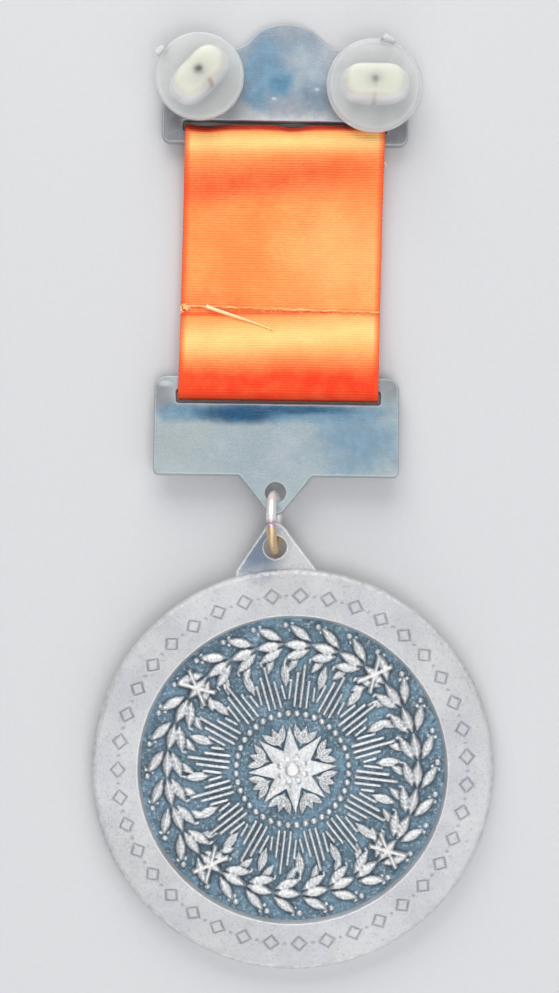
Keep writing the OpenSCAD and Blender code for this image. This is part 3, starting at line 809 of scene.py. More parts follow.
def field_metal(finish):
    """The cast field: worn bright on the relief, with a blue patina in the ground and patina with painted
    shade in the hollows round the relief.
    """
    made, g, shader = material("Medal field")
    point = g.millimetres()
    high = g.mask("high")
    stipple = g.group(stipple_group(), Point=point, Scale=6.0)
    broken = g.noise(point, 1.7, 5.0, 0.65)
    ground = g.mix(g.sweep(g.noise(point, 0.35), 0.36, 0.66), finish.field, shade(finish.field, 1.9))
    ground = g.mix(g.sweep(broken, 0.50, 0.70, 0.0, 0.7), ground, shade(finish.field, 0.6))
    ground = g.patches(point, ground, (
        (2.4, 5.0, 0.75, 0.50, 0.66, 0.85, FIELD_PALE),
        (1.1, 5.0, 0.75, 0.46, 0.34, 0.75, FIELD_DEEP),
    ))
    worn = g.sweep(g.plus(high, g.times(g.minus(broken, 0.5), 0.55)), 0.10, 0.26)
    top = g.mix(g.sweep(g.noise(point, 3.2, 4.0), 0.40, 0.62), shade(finish.relief, 0.8), finish.relief)
    base = g.mix(g.sweep(high, 0.75, 1.0, 0.0, 0.55), g.mix(worn, ground, top), WARM_TOP)
    # Patina and painted shade in the hollows round the relief
    g.put(shader.inputs["Base Color"], g.tinted(base, g.mask("hollow"), 0.8, FIELD_HOLLOW_PATINA_AND_SHADE))
    g.put(shader.inputs["Metallic"], g.sweep(worn, 0.0, 1.0, 0.45, 0.9))
    g.put(shader.inputs["Roughness"], g.sweep(worn, 0.0, 1.0, 0.55, 0.42))
    bumped(g, shader, [(stipple["Height"], 0.07 * MM), (g.noise(point, 3.4, 3.0, 0.7), 0.06 * MM)])
    return made


def ring_metal(finish):
    """Wire that is pale on its upper half, partly plating and partly a painted reflection of the light
    above, and brass on its lower half, with a painted dark reflection at the joint.
    """
    made, g, shader = material("Jump ring")
    point = g.millimetres()
    # Pale on the side towards the light: partly worn plating, partly a painted reflection
    low = g.sweep(g.node("ShaderNodeSeparateXYZ", {0: point}).outputs[0], 0.9, -1.4)
    broken = g.plus(low, g.times(g.minus(g.noise(point, 1.0, 4.0), 0.5), 1.1))
    base = g.mix(g.sweep(broken, 0.3, 0.75), PLATING_AND_REFLECTION, finish.brass)
    base = g.mix(g.sweep(g.noise(point, 3.0), 0.55, 0.72, 0.0, 0.6), base, BROWN)
    # Painted dark reflection at the joint
    base = g.mix(g.sweep(g.mask("edge"), 0.2, 1.0, 0.0, 0.55), base, PURPLE_REFLECTION)
    g.put(shader.inputs["Base Color"], base)
    shader.inputs["Metallic"].default_value = 0.75
    g.put(shader.inputs["Roughness"], g.sweep(g.noise(point, 1.4), 0.3, 0.7, 0.34, 0.46))
    bumped(g, shader, [(g.noise(point, 5.0, 4.0), 0.02 * MM)])
    return made


def ribbon_cloth(finish, pitch):
    """Ribbed silk, with painted shade between its threads and where the cloth turns away from the light,
    and painted highlight on the weave's crowns and where the cloth faces the light.
    """
    made, g, shader = material("Ribbon")
    point = g.millimetres()
    along, across = g.mask("along"), g.mask("across")
    weave = g.group(weave_group(), Point=point, Along=along, Across=across, Pitch=pitch / MM)
    drawn_out = g.node("ShaderNodeCombineXYZ", {0: g.times(across, 0.4), 1: along}).outputs[0]
    base = g.mix(g.sweep(g.noise(point, 0.16), 0.36, 0.64), finish.ribbon, ORANGE_LIGHT)
    base = g.mix(g.sweep(g.noise(drawn_out, 2.6), 0.42, 0.66, 0.0, 0.25), base, ORANGE_YARN)
    uneven = g.plus(g.times(g.minus(g.noise(point, 0.45), 0.5), 0.6), 0.95)
    # The deep mask is painted shade where the cloth turns away from the light
    deep = g.times(g.mask("deep"), uneven, clamp=True)
    # Painted highlight where the cloth faces the light
    base = g.mix(g.times(g.mask("glow"), uneven, clamp=True), base, finish.ribbon_highlight)
    base = g.mix(deep, base, finish.ribbon_shade)
    # Painted highlight on the crowns of the weave, weaker in the painted shade
    base = g.tinted(base, weave["Crowns"], g.sweep(deep, 0.3, 1.0, 0.18, 0.04), finish.ribbon_highlight)
    # Painted shade between the threads
    base = g.tinted(base, weave["Gaps"], 0.85, finish.ribbon_gap_shade)
    base = g.tinted(base, g.mask("selvage"), 0.8, SELVAGE)
    # Painted shade where the cloth dives into the top slot
    g.put(shader.inputs["Base Color"], g.tinted(base, g.mask("tuck"), 0.75, TUCK_SHADE))
    g.put(shader.inputs["Roughness"], g.sweep(weave["Crowns"], 0.0, 1.0, 0.75, 0.48))
    shader.inputs["Specular IOR Level"].default_value = 0.2
    shader.inputs["Sheen Weight"].default_value = 0.08
    shader.inputs["Sheen Roughness"].default_value = 0.4
    shader.inputs["Sheen Tint"].default_value = SHEEN
    bumped(g, shader, [(weave["Height"], 0.06 * MM), (g.noise(point, 6.0), 0.03 * MM)])
    return made


def thread_cloth(name, tone, tip):
    """Loose silk fibre that takes another tone towards its tip."""
    made, g, shader = material(name)
    point = g.millimetres()
    base = g.mix(g.mask("tip"), tone, tip)
    base = g.mix(g.sweep(g.noise(point, 6.0), 0.5, 0.7, 0.0, 0.4), base, shade(tone, 0.6))
    g.put(shader.inputs["Base Color"], base)
    shader.inputs["Roughness"].default_value = 0.65
    shader.inputs["Subsurface Weight"].default_value = 0.15
    shader.inputs["Subsurface Scale"].default_value = 0.2 * MM
    bumped(g, shader, [(g.noise(point, 14.0, 2.0), 0.02 * MM)])
    return made


def rubber(name, tone, clear, depth, marks=(), cap=None, top=0.0):
    """Milky rubber, more or less clear, that light enters to a depth.

    Marks are brown stains as (place, size, amount), and a cap colour sets in towards its top.
    """
    made, g, shader = material(name)
    point = g.millimetres()
    base = g.mix(g.sweep(g.noise(point, 0.35, 2.0), 0.38, 0.66), tone, shade(tone, 0.92))
    if cap is not None:
        high = g.sweep(g.node("ShaderNodeSeparateXYZ", {0: point}).outputs[2], top - 1.6, top)
        base = g.mix(high, base, cap)
    # Painted highlight along a pad's rounded rim, and the white of the nub
    base = g.tinted(base, g.mask("edge"), 0.85, RUBBER_RIM_HIGHLIGHT_AND_NUB)
    for place, size, amount in marks:
        base = g.mix(placed_spot(g, point, place, size, amount, 0.7), base, RUBBER_STAIN)
    g.put(shader.inputs["Base Color"], base)
    g.put(shader.inputs["Roughness"], g.sweep(g.noise(point, 0.9, 2.0), 0.35, 0.7, 0.28, 0.40))
    shader.inputs["Transmission Weight"].default_value = clear
    shader.inputs["IOR"].default_value = 1.36
    shader.inputs["Subsurface Weight"].default_value = 1.0 - clear * 0.5
    shader.inputs["Subsurface Radius"].default_value = (1.0, 0.97, 0.85)
    shader.inputs["Subsurface Scale"].default_value = depth
    bumped(g, shader, [(g.noise(point, 0.5, 1.0), 0.02 * MM)])
    return made


def floor_paper(finish):
    """A plain pale surface with a very faint grain."""
    made, g, shader = material("Floor")
    point = g.millimetres()
    grain = g.sweep(g.noise(point, 1.5, 4.0), 0.35, 0.65)
    g.put(shader.inputs["Base Color"], g.mix(grain, shade(finish.floor, 0.985), finish.floor))
    shader.inputs["Roughness"].default_value = 0.85
    bumped(g, shader, [(g.noise(point, 3.0), 0.01 * MM)])
    return made


# Relief of the medal, in millimetres on the disc

LEAF_COUNT = 28
LEAF_LONG = 3.4
LEAF_WIDE = 1.3
VEIN_HIGH = 0.08
VEIN_PITCH = 0.56
VEIN_SLANT = 1.1
RIB_HIGH = 0.20
RIB_WIDE = 0.10
WREATH_RADIUS = 15.65
# Rows of leaves: how far from the wreath's middle, turn from straight out and height
LEAF_ROWS = ((0.0, 96.4, 0.62), (0.5, 62.0, 0.51), (-0.5, 118.0, 0.43))
STRAP_HIGH = 0.8
STRAP_WIDE = 0.7
STRAP_LONG = 5.0
STRAP_SLOPE = 26.0
STRAP_PAIRS = 4
RAY_GROUPS = 16
RAY_START = 7.72
RAY_END = 13.25
# Rays of a group: how far to the side, share of the whole length and height
RAYS = ((0.0, 1.0, 0.45), (-0.75, 0.64, 0.315), (0.75, 0.8, 0.315))
RAY_WIDE = 0.5
BEADS = 40
BEAD_RING = 7.0
BEAD_RADIUS = 0.42
STAR_POINTS = 8
STAR_TIP = 5.8
STAR_NOTCH = 2.67
STAR_HIGH = 0.7
STAR_EDGE = 0.21
BOSS_RADIUS = 0.9
BOSS_HIGH = 0.84
PETAL_RING = 1.5
PETAL_RADIUS = 0.45
PETAL_HIGH = 0.63
SOFT_EDGE = 0.12
# Leaves round the star: how far out and turn
STAR_LEAVES = ((3.0, 0.0), (3.3, 34.0), (3.3, -34.0))
# Short rays beside each group: how far to the side and where they end
SHORT_RAYS = ((1.5, 11.2), (-1.5, 10.5))
SHORT_RAY_WIDE = 0.48
SHORT_RAY_HIGH = 0.31
SINGLE_LEAF_RING = 10.3
SMALL_LEAF_HIGH = 0.40
STAR_LEAF_HIGH = 0.36
# Berries in the wreath: how far from its middle, how far to the side and radius
BERRIES = ((-2.1, 1.5, 0.36), (2.35, 1.5, 0.38), (2.5, 0.65, 0.30), (1.75, 0.95, 0.30))
STEM_HALF = 0.24
STEM_HIGH = 0.32
LOZENGES = 39
LOZENGE_HALF = (1.05, 1.15)
BORDER_RADIUS = 21.7
LINE_WIDE = 0.26
LINE_DEEP = 0.2


def folded(x, y, count, first=0.0):
    """The same points turned into the sector round +x, for a pattern that repeats round the disc."""
    step = FULL_TURN / count
    angle = np.arctan2(y, x) - first
    angle = (angle / step + 0.5) % 1.0 * step - step / 2
    radius = np.hypot(x, y)
    return radius * np.cos(angle), radius * np.sin(angle)


def soft_edge(inside):
    """0 outside an edge and 1 well inside it, from the distance inside."""
    return ease(inside / SOFT_EDGE)


def rounded_strip(x, y, start, end, half, high):
    """Height of a bar along x with soft sides and a crowned top."""
    across = np.clip(np.abs(y) / half, 0, 1)
    edge = soft_edge(half - np.abs(y)) * soft_edge(x - start) * soft_edge(end - x)
    return high * edge * (1 - 0.35 * across**2)


def leaf_height(x, y, high):
    """Height of a leaf along +x, with a middle rib and side veins."""
    along = np.clip(x / LEAF_LONG, 0, 1)
    half = LEAF_WIDE / 2 * np.sin(np.pi * along) ** 0.8
    inside = soft_edge(half - np.abs(y)) * (x > 0) * (x < LEAF_LONG)
    body = 0.70 + 0.30 * np.cos(np.clip(y / np.maximum(half, 0.05), -1, 1) * 1.3)
    veins = VEIN_HIGH * np.cos(FULL_TURN * (x - VEIN_SLANT * np.abs(y)) / VEIN_PITCH)
    rib = RIB_HIGH * hump(y, 0, RIB_WIDE) * np.sin(np.pi * along)
    return inside * (high * body + veins + rib)


def turned_leaf(x, y, turn, high, shrink=1.0):
    """Height of a leaf that starts at 0, 0 and points to an angle; shrink divides its length."""
    along, across = rotated(x, y, turn)
    return leaf_height(along * shrink, across * shrink, high)


def knob(x, y, radius):
    """Height of a half-round bead."""
    return np.sqrt(np.maximum(radius**2 - x**2 - y**2, 0))


def wreath_heights(x, y):
    """Three rows of leaves and the crossed straps that bind them."""
    step = FULL_TURN / LEAF_COUNT
    first = np.floor(np.arctan2(y, x) / step)
    for shift, turn, high in LEAF_ROWS:
        for ahead in (-1, 0, 1):
            angle = (first + ahead) * step
            out = x * np.cos(angle) + y * np.sin(angle) - WREATH_RADIUS - shift
            side = y * np.cos(angle) - x * np.sin(angle)
            yield turned_leaf(out, side, turn, high)
    u, v = folded(x, y, STRAP_PAIRS, math.pi / STRAP_PAIRS)
    half = STRAP_LONG / 2
    for slope in (-STRAP_SLOPE, STRAP_SLOPE):
        along, across = rotated(u - WREATH_RADIUS, v, slope)
        yield rounded_strip(along, across, -half, half, STRAP_WIDE / 2, STRAP_HIGH)


def star_heights(x, y):
    """A faceted star with beads round it and a rosette in its middle."""
    turn = math.pi / STAR_POINTS
    u, v = folded(x, y, STAR_POINTS)
    toward_notch = np.abs(v) / (STAR_NOTCH * math.sin(turn))
    reach = toward_notch + (u - STAR_NOTCH * math.cos(turn) * toward_notch) / STAR_TIP
    yield np.where(reach < 1, STAR_HIGH - (STAR_HIGH - STAR_EDGE) * reach, 0) * ease((1 - reach) * 18)
    u, v = folded(x, y, BEADS)
    yield knob(u - BEAD_RING, v, BEAD_RADIUS)
    away = np.hypot(x, y)
    yield BOSS_HIGH * soft_edge(BOSS_RADIUS - away) * (1 - 0.12 * away**2)
    u, v = folded(x, y, STAR_POINTS, turn)
    away = np.hypot(u - PETAL_RING, v)
    yield PETAL_HIGH * soft_edge(PETAL_RADIUS - away) * (1 - 0.8 * away**2)


def ray_heights(x, y):
    """Groups of three straight rays."""
    u, v = folded(x, y, RAY_GROUPS, math.pi / RAY_GROUPS)
    for side, part, high in RAYS:
        end = RAY_START + (RAY_END - RAY_START) * part
        yield rounded_strip(u, v - side, RAY_START, end, RAY_WIDE / 2, high)


def filler_heights(x, y):
    """Small leaves and rays between the larger ones, with berries and a stem in the wreath."""
    u, v = folded(x, y, STAR_POINTS, math.pi / STAR_POINTS)
    for shift, turn in STAR_LEAVES:
        yield turned_leaf(u - shift, v, turn, STAR_LEAF_HIGH, 1.25)
    u, v = folded(x, y, RAY_GROUPS)
    yield turned_leaf(u - SINGLE_LEAF_RING, v, 0.0, SMALL_LEAF_HIGH, 1.05)
    u, v = folded(x, y, RAY_GROUPS, math.pi / RAY_GROUPS)
    for side, end in SHORT_RAYS:
        yield rounded_strip(u, v - side, RAY_START + 0.9, end, SHORT_RAY_WIDE / 2, SHORT_RAY_HIGH)
    u, v = folded(x, y, LEAF_COUNT, math.pi / LEAF_COUNT)
    yield turned_leaf(u - WREATH_RADIUS + 1.2, v + 0.3, 152.0, SMALL_LEAF_HIGH, 1.3)
    for shift, side, size in BERRIES:
        yield knob(u - WREATH_RADIUS - shift, v - side, size)
    stem = np.abs(np.hypot(x, y) - WREATH_RADIUS) / STEM_HALF
    yield STEM_HIGH * ease((1 - stem) / 0.5)


def relief_height(x, y):
    """Height of the cast relief above the field, uneven like a sand casting, on a polar grid."""
    large = np.maximum.reduce([*wreath_heights(x, y), *star_heights(x, y), *ray_heights(x, y)])
    clear = 1 - ease((blurred(large, 4) - 0.02) / 0.09)
    height = np.maximum(large, np.maximum.reduce([*filler_heights(x, y)]) * clear)
    return height + 0.022 * ripple(x, y, 0.7, 5) + 0.02 * ripple(x, y, 4.0, 6)


def blurred(height, times):
    """A polar grid of heights, softened to all sides."""
    for _ in range(times):
        height = (2 * height + np.roll(height, 1, axis=1) + np.roll(height, -1, axis=1)) / 4
        inner = np.concatenate([height[:1], height[:-1]])
        outer = np.concatenate([height[1:], height[-1:]])
        height = (2 * height + inner + outer) / 4
    return height


def field_piece(start, end, rings, sectors, floor, under):
    """The field between two radii as a closed solid, a disc or a ring, with its masks."""
    radius = np.linspace(start, end, rings)[:, None]
    angles = circle(sectors)
    x, y = radius * np.cos(angles), radius * np.sin(angles)
    height = blurred(relief_height(x, y), 1)
    # Patina and painted shade in the hollows round the relief
    hollow = np.clip((blurred(height, 12) - height) / 0.16, 0, 1)
    top = np.dstack([x, y, floor + height])
    foot = np.dstack([x[[0, -1]], y[[0, -1]], np.full((2, sectors), under)])
    is_ring = start > SMALLEST_HOLE
    inner_foot = foot[:is_ring]
    skin = np.concatenate([inner_foot, top, foot[1:]])
    extra = ((len(inner_foot), 1), (0, 0))
    masks = {"high": np.pad(height / BOSS_HIGH, extra).ravel(), "hollow": np.pad(hollow, extra).ravel()}
    return loft(skin * MM, caps=not is_ring, closed=is_ring), masks


def border_depth(x, y):
    """How deep the engraved lozenges and dots are, from 0 to 1."""
    u, v = folded(x, y, LOZENGES)
    a, b = LOZENGE_HALF
    away = (np.abs(u - BORDER_RADIUS) / a + np.abs(v) / b - 1) * a * b / math.hypot(a, b) + LINE_WIDE / 2
    line = 1 - ease(np.abs(away) / (LINE_WIDE * 0.62))
    u, v = folded(x, y, LOZENGES, math.pi / LOZENGES)
    dot = 1 - ease(np.hypot(u - BORDER_RADIUS, v) / (LINE_WIDE * 1.1))
    return np.maximum(line, dot)


# Medal

BAND_RINGS = 44
BEND_STEPS = 5
SECTORS_A_LOZENGE = 30
# Radius of the rim's inner edge, and how far the body's face lies under the field's floor
LIP = 0.14
UNDER_FIELD = 0.12
# The two flat faces of the body start this far from its middle
INNER_RADIUS = 0.5
# The field's middle as start, end, rings and sectors, and the rings and sectors of the field round it
FIELD_SPLIT = 7.57
FIELD_MIDDLE = (0.05, FIELD_SPLIT, 100, 560)
FIELD_RINGS, FIELD_SECTORS = 98, 960
# A start below this makes a disc, and one above it a ring
SMALLEST_HOLE = 1.0
# The lug isn't quite straight on the disc
LUG_LEAN = math.radians(-3.0)


def medal_body(metal, radius):
    """The dished disc with its engraved rim, as a closed solid with its masks."""
    thick, edge = metal.disc_thick / MM, metal.disc_edge / MM
    mouth = radius / MM - metal.rim_width / MM
    wall_foot = mouth - metal.field_draft / MM
    floor = thick - metal.field_depth / MM
    outer, under, front = radius / MM - edge, floor - UNDER_FIELD, metal.front_depth / MM
    inside = [(INNER_RADIUS, under), (wall_foot + 0.05, under), (wall_foot + 0.06, floor + 0.2)]
    band = np.linspace(mouth + LIP + 0.1, outer, BAND_RINGS)
    bend = np.radians(np.linspace(0, 90, BEND_STEPS + 1))[1:]
    # Stretches of the outline as (radius, height), with their wear and their share of the engraving
    stretches = (
        (inside, 0.0, 0.0),
        (arc((mouth + LIP, thick - LIP), LIP, 180, 90, BEND_STEPS), 1.0, 0.0),
        (np.column_stack([band, np.full(BAND_RINGS, thick)]), 0.0, 1.0),
        (arc((outer, thick - edge), edge, 90, 0, BEND_STEPS)[1:], 0.35 + 0.35 * np.sin(2 * bend), 0.0),
        (arc((outer, edge), edge, 0, -90, BEND_STEPS), 0.7, 0.0),
        ([(mouth + LIP, 0), (mouth, LIP)], 0.8, 0.0),
        ([(mouth - 0.02, front), (INNER_RADIUS, front)], 0.0, 0.0),
    )
    rows = [np.column_stack([points, np.broadcast_to(wear, len(points)), np.full(len(points), share)])
            for points, wear, share in stretches]
    out, level, wear, share = (values[:, None] for values in np.concatenate(rows).T)
    angles = circle(LOZENGES * SECTORS_A_LOZENGE)
    x, y = out * np.cos(angles), out * np.sin(angles)
    engraved = border_depth(x, y) * share
    height = level - LINE_DEEP * engraved + 0.012 * ripple(x, y, 1.6, 9) * share
    worn = np.broadcast_to(wear, x.shape)
    return loft(np.dstack([x, y, height]) * MM), {"edge": worn.ravel(), "groove": engraved.ravel()}


def medal_lug(metal, radius):
    """The pointed lug with its hole, as (points, faces) and its wear."""
    root, root_corner, tip_radius, sunk = 2 * MM, 0.8 * MM, 1.5 * MM, 0.4 * MM
    width, tip, up = metal.medal_lug_width, metal.medal_lug_out, metal.medal_hole_up
    foot = math.sqrt(radius**2 - width**2 / 4) + sunk
    low = foot - root
    outline = np.concatenate([
        pointed_lug(width, foot, tip, tip_radius),
        arc((-width / 2 + root_corner, low + root_corner), root_corner, 180, 270),
        arc((width / 2 - root_corner, low + root_corner), root_corner, 270, 360),
    ])
    hole = arc((0, up), metal.medal_hole / 2, 360, 0, 40)[:-1]
    loops, bevel = [outline, hole], 0.22 * MM
    shape, wear = Sheared(loops, metal.medal_lug_thick, bevel, ROUGH_EDGE, seed=3).build()
    place = Matrix.Translation((0, up, (metal.disc_thick - metal.medal_lug_thick) / 2))
    lean = Matrix.Rotation(LUG_LEAN, 4, "Z")
    return moved(shape, place @ lean @ Matrix.Translation((0, -up, 0))), wear


# Ribbon

# Share of the way from the top bar to the bottom bar, and share of the rise up to the strips
SAG = ((0.0, 1.0), (0.03, 0.98), (0.08, 0.80), (0.15, 0.42), (0.24, 0.10), (0.36, 0.0), (0.52, 0.04),
       (0.66, 0.06), (0.76, 0.36), (0.84, 0.80), (0.91, 1.0), (1.0, 0.90))
# The cut end isn't quite square
CUT_LEAN = math.radians(1.1)
# Its unevenness fades out over this length of the cloth
CUT_REACH = 9 * MM
ROW_STEP = 0.3 * MM
# Width of the rounded edge, and from the edge to the even columns
EDGE_ROUND = 0.18 * MM
EDGE_BAND = 0.5 * MM
# Dips of the fold over the top strip: depth, place across and width, in millimetres
DIPS = ((0.40, -9.9, 1.7), (0.34, 0.9, 1.5))
# The shown face lies above this height
SHOWN_ABOVE = 0.9 * MM
# The pale thread's two ends, and its fibres as share of its length and radius, in millimetres
THREAD_HEAD, THREAD_TAIL = (-10.6, 23.55, 2.5), (-2.4, 20.6, 2.9)
THREAD_FIBRES = ((1.0, 0.21), (0.94, 0.16), (0.7, 0.15), (0.35, 0.14), (0.2, 0.12), (0.12, 0.12))
# Tufts of fibres: place, number and spread, in millimetres
TUFTS = (((-13.4, 23.6, 2.65), 14, 0.5), ((11.3, 41.6, 3.0), 3, 0.2))


class RibbonPath:
    """The middle line of the ribbon seen from the side, from its cut end round both strips."""

    # Room for the cloth round a strip, and the lowest height of the shown face
    room = 1.1 * MM
    low_face = 2.2 * MM
    floor_gap = 0.07 * MM
    # Where the cut lies, and how much of the line is spare before it
    cut_y = 23.1 * MM
    spare = 1.0 * MM
    # The hidden layer lies flat between these shares of the way
    flat_from, flat_to = 0.15, 0.9
    # The lower end starts to dive at this share of the way, by this many times the cloth
    dive, under = 0.84, 1.06
    # Steps of the line before it is softened, as a share of the way, and after
    step = 0.01
    fine = 0.05 * MM
    smoothing = 17

    def __init__(self, soft, metal, top, bottom):
        self.soft, self.metal, self.top, self.bottom = soft, metal, top, bottom
        self.wrap = self.room - soft.cloth / 2
        self.top_x = top.middle_x
        self.bottom_x = bottom.middle_x + metal.bottom_slot_off
        self.turn = (top.turn + bottom.turn) / 2
        self.top_y, self.bottom_y = self.side(top, 0, 0)[0], self.side(bottom, 0, 0)[0]
        line = self.line()
        steps = np.linalg.norm(np.diff(line, axis=0), axis=1)
        length = np.concatenate([[0], np.cumsum(steps)])
        self.s = np.arange(0, length[-1], self.fine)
        self.y, self.z = (self.softened(np.interp(self.s, length, line[:, i])) for i in (0, 1))
        self.length = self.s[-1]

    def softened(self, values):
        """The line without its small kinks."""
        kernel = np.hanning(self.smoothing)
        padded = np.pad(values, self.smoothing // 2, mode="reflect", reflect_type="odd")
        return np.convolve(padded, kernel / kernel.sum(), "valid")

    def side(self, plate, y, z):
        """A point of a bar as (y, z) of the model; y is from the bar's ribbon edge, z from its front."""
        edge = plate.low[1] if plate is self.top else plate.high[1]
        x = self.top_x if plate is self.top else self.bottom_x
        point = plate.axes.to_3x3() @ Vector((x, edge + y, plate.low[2] + z))
        return point.y, point.z

    def bend(self, plate, y, z, start, end):
        """Points round a corner of a strip."""
        return [self.side(plate, *point) for point in arc((y, z), self.wrap, start, end, 8)]

    def line(self):
        """The line from its spare end past the cut, round both strips and under the cut again."""
        half, thick = self.soft.cloth / 2, self.metal.bar_thick
        upper = self.side(self.top, 0, thick + self.wrap)
        lower = self.side(self.bottom, 0, thick + self.wrap)
        span = upper[0] - lower[0]
        cut = (upper[0] - self.cut_y) / span
        hidden = cut - self.soft.hidden_end / span

        def shown(part, down):
            """A point of the shown stretch, lower where it lies under the cut."""
            straight = upper[1] + (lower[1] - upper[1]) * part + half
            face = self.low_face + (straight - self.low_face) * np.interp(part, *zip(*SAG))
            return upper[0] - span * part, face - half - down

        line = [shown(part, 0) for part in np.arange(cut + self.spare / span, 0.004, -self.step)]
        strip = self.metal.top_strip
        line += self.bend(self.top, strip, thick, 90, 0) + self.bend(self.top, strip, 0, 0, -90)
        floor = self.floor_gap + half
        line += [self.side(self.top, 0, -self.wrap), (upper[0] - 1.5 * MM, floor + 0.05 * MM)]
        line += [(upper[0] - span * part, floor)
                 for part in np.linspace(self.flat_from, self.flat_to, 12)]
        line += [self.side(self.bottom, 0, -self.wrap)]
        strip = self.metal.bottom_strip
        line += self.bend(self.bottom, -strip, 0, 270, 180)
        line += self.bend(self.bottom, -strip, thick, 180, 90)
        under = self.soft.cloth * self.under
        for part in np.arange(1.0, hidden, -self.step):
            dived = ease((self.dive - part) / (self.dive - cut - 0.02))
            line.append(shown(part, under * float(dived)))
        return np.array(line)

    def surface(self, y):
        """Height of the shown face at places along the ribbon."""
        crest = np.argmax(np.where(self.s < self.length / 2, self.z, 0))
        foot = len(self.z) - 1 - np.argmax(self.z[::-1])
        upper = np.interp(y, self.y[:crest], self.z[:crest])
        lower = np.interp(y, self.y[foot:], self.z[foot:])
        return np.where(y > self.cut_y, upper, lower) + self.soft.cloth / 2

    def way(self, y):
        """Share of the way from the top bar's ribbon edge to the bottom bar's."""
        return (self.top_y - y) / (self.top_y - self.bottom_y)

    def at(self, s, x):
        """Points and outward directions at lengths s and places x across."""
        y, z = np.interp(s, self.s, self.y), np.interp(s, self.s, self.z)
        dy, dz = (np.interp(s + self.fine, self.s, values) - np.interp(s - self.fine, self.s, values)
                  for values in (self.y, self.z))
        size = np.hypot(dy, dz)
        out = np.stack([np.zeros_like(y), -dz / size, dy / size], axis=-1)
        tops = self.top.axes.to_3x3() @ Vector((self.top_x, self.top.low[1], 0))
        feet = self.bottom.axes.to_3x3() @ Vector((self.bottom_x, self.bottom.high[1], 0))
        middle = tops.x + (feet.x - tops.x) * self.way(y)
        return np.stack([middle + x * math.cos(self.turn), y + x * math.sin(self.turn), z], axis=-1), out


def ribbon_columns(half_width):
    """Places across the ribbon, closer together at its edges."""
    inner = half_width - EDGE_BAND
    return np.concatenate([
        np.linspace(-half_width, -half_width + EDGE_ROUND, 4),
        np.linspace(-inner, inner, 69),
        np.linspace(half_width - EDGE_ROUND, half_width, 4),
    ])


def both_sides(upper, lower):
    """Rows that run along the upper side and back along the lower one."""
    return np.concatenate([upper, lower[:, ::-1]], axis=1)


def ribbon_shape(soft, path):
    """The whole ribbon as one closed sheet, with its masks."""
    half_width, edge = soft.ribbon_width / 2, EDGE_ROUND
    x = ribbon_columns(half_width)
    used = path.length - path.spare
    rows = np.linspace(path.spare, path.length - path.fine, int(used / ROW_STEP))
    s, across = np.meshgrid(rows, x, indexing="ij")
    ragged = 0.09 * MM * ripple_along(across, 1.1, 21) - across * math.tan(CUT_LEAN)
    s = s + ragged * np.clip(1 - (s - path.spare) / CUT_REACH, 0, 1) ** 2
    points, out = path.at(s, across)
    way = path.way(points[..., 1])
    near_edge = np.clip((np.abs(across) - half_width + edge) / edge, 0, 1)
    selvage = ease((np.abs(across) - half_width + 0.7 * MM) / (0.35 * MM))
    dips = sum(deep * hump(across / MM, place, width) for deep, place, width in DIPS)
    points = buckled(points, out, across, way, path.top_y, dips)
    notch = 0.05 * MM * np.abs(np.sin(np.pi * s / (2 * soft.rib_pitch))) * near_edge
    points[..., 0] -= np.sign(across) * notch
    half = soft.cloth / 2 * (1 + 0.12 * selvage) * np.sqrt(1 - 0.85 * near_edge**2)
    pressed = 0.7 * half * (1 - ease((s - path.spare) / (0.8 * MM)))
    half = (half - pressed)[..., None]
    points = points - out * pressed[..., None]
    skin, faces = loft(both_sides(points + out * half, points - out * half), caps=False)
    faces += ribbon_ends(len(rows), len(x))
    below = (path.cut_y - points[..., 1] + across * math.sin(CUT_LEAN)) / MM
    masks = light_masks(way, across / half_width, dips, below, s > path.length / 2)
    masks = {name: np.clip(mask, 0, 1) * (points[..., 2] > SHOWN_ABOVE) for name, mask in masks.items()}
    masks |= {"along": s / MM, "across": across / MM, "selvage": selvage}
    return (skin, faces), {name: both_sides(mask, mask).ravel() for name, mask in masks.items()}


def buckled(points, out, across, way, top_y, dips):
    """The cloth's points with the dents of the upper fold and soft waves on the shown face."""
    high = points[..., 2]
    over = ease((points[..., 1] - top_y) / (1.3 * MM)) * ease((high - SHOWN_ABOVE) / (0.6 * MM))
    buckle = (-0.20 - dips + 0.05 * ripple_along(across, 4.0, 8)) * MM * over
    shown = ease((way - 0.06) / 0.2) * ease((0.94 - way) / 0.2) * (high > SHOWN_ABOVE)
    waves = 0.11 * MM * ripple(points[..., 0] / MM, points[..., 1] / MM * 0.6, 12.0, 31) * shown
    points = points + out * buckle[..., None]
    points[..., 2] += waves
    return points


def ribbon_ends(rows, columns):
    """The faces that close the two ends of the cloth."""
    count = 2 * columns
    faces = []
    for row, order in ((0, 1), (rows - 1, -1)):
        first = row * count
        last = first + count - 1
        for i in range(columns - 1):
            faces.append([first + i, first + i + 1, last - 1 - i, last - i][::order])
    return faces


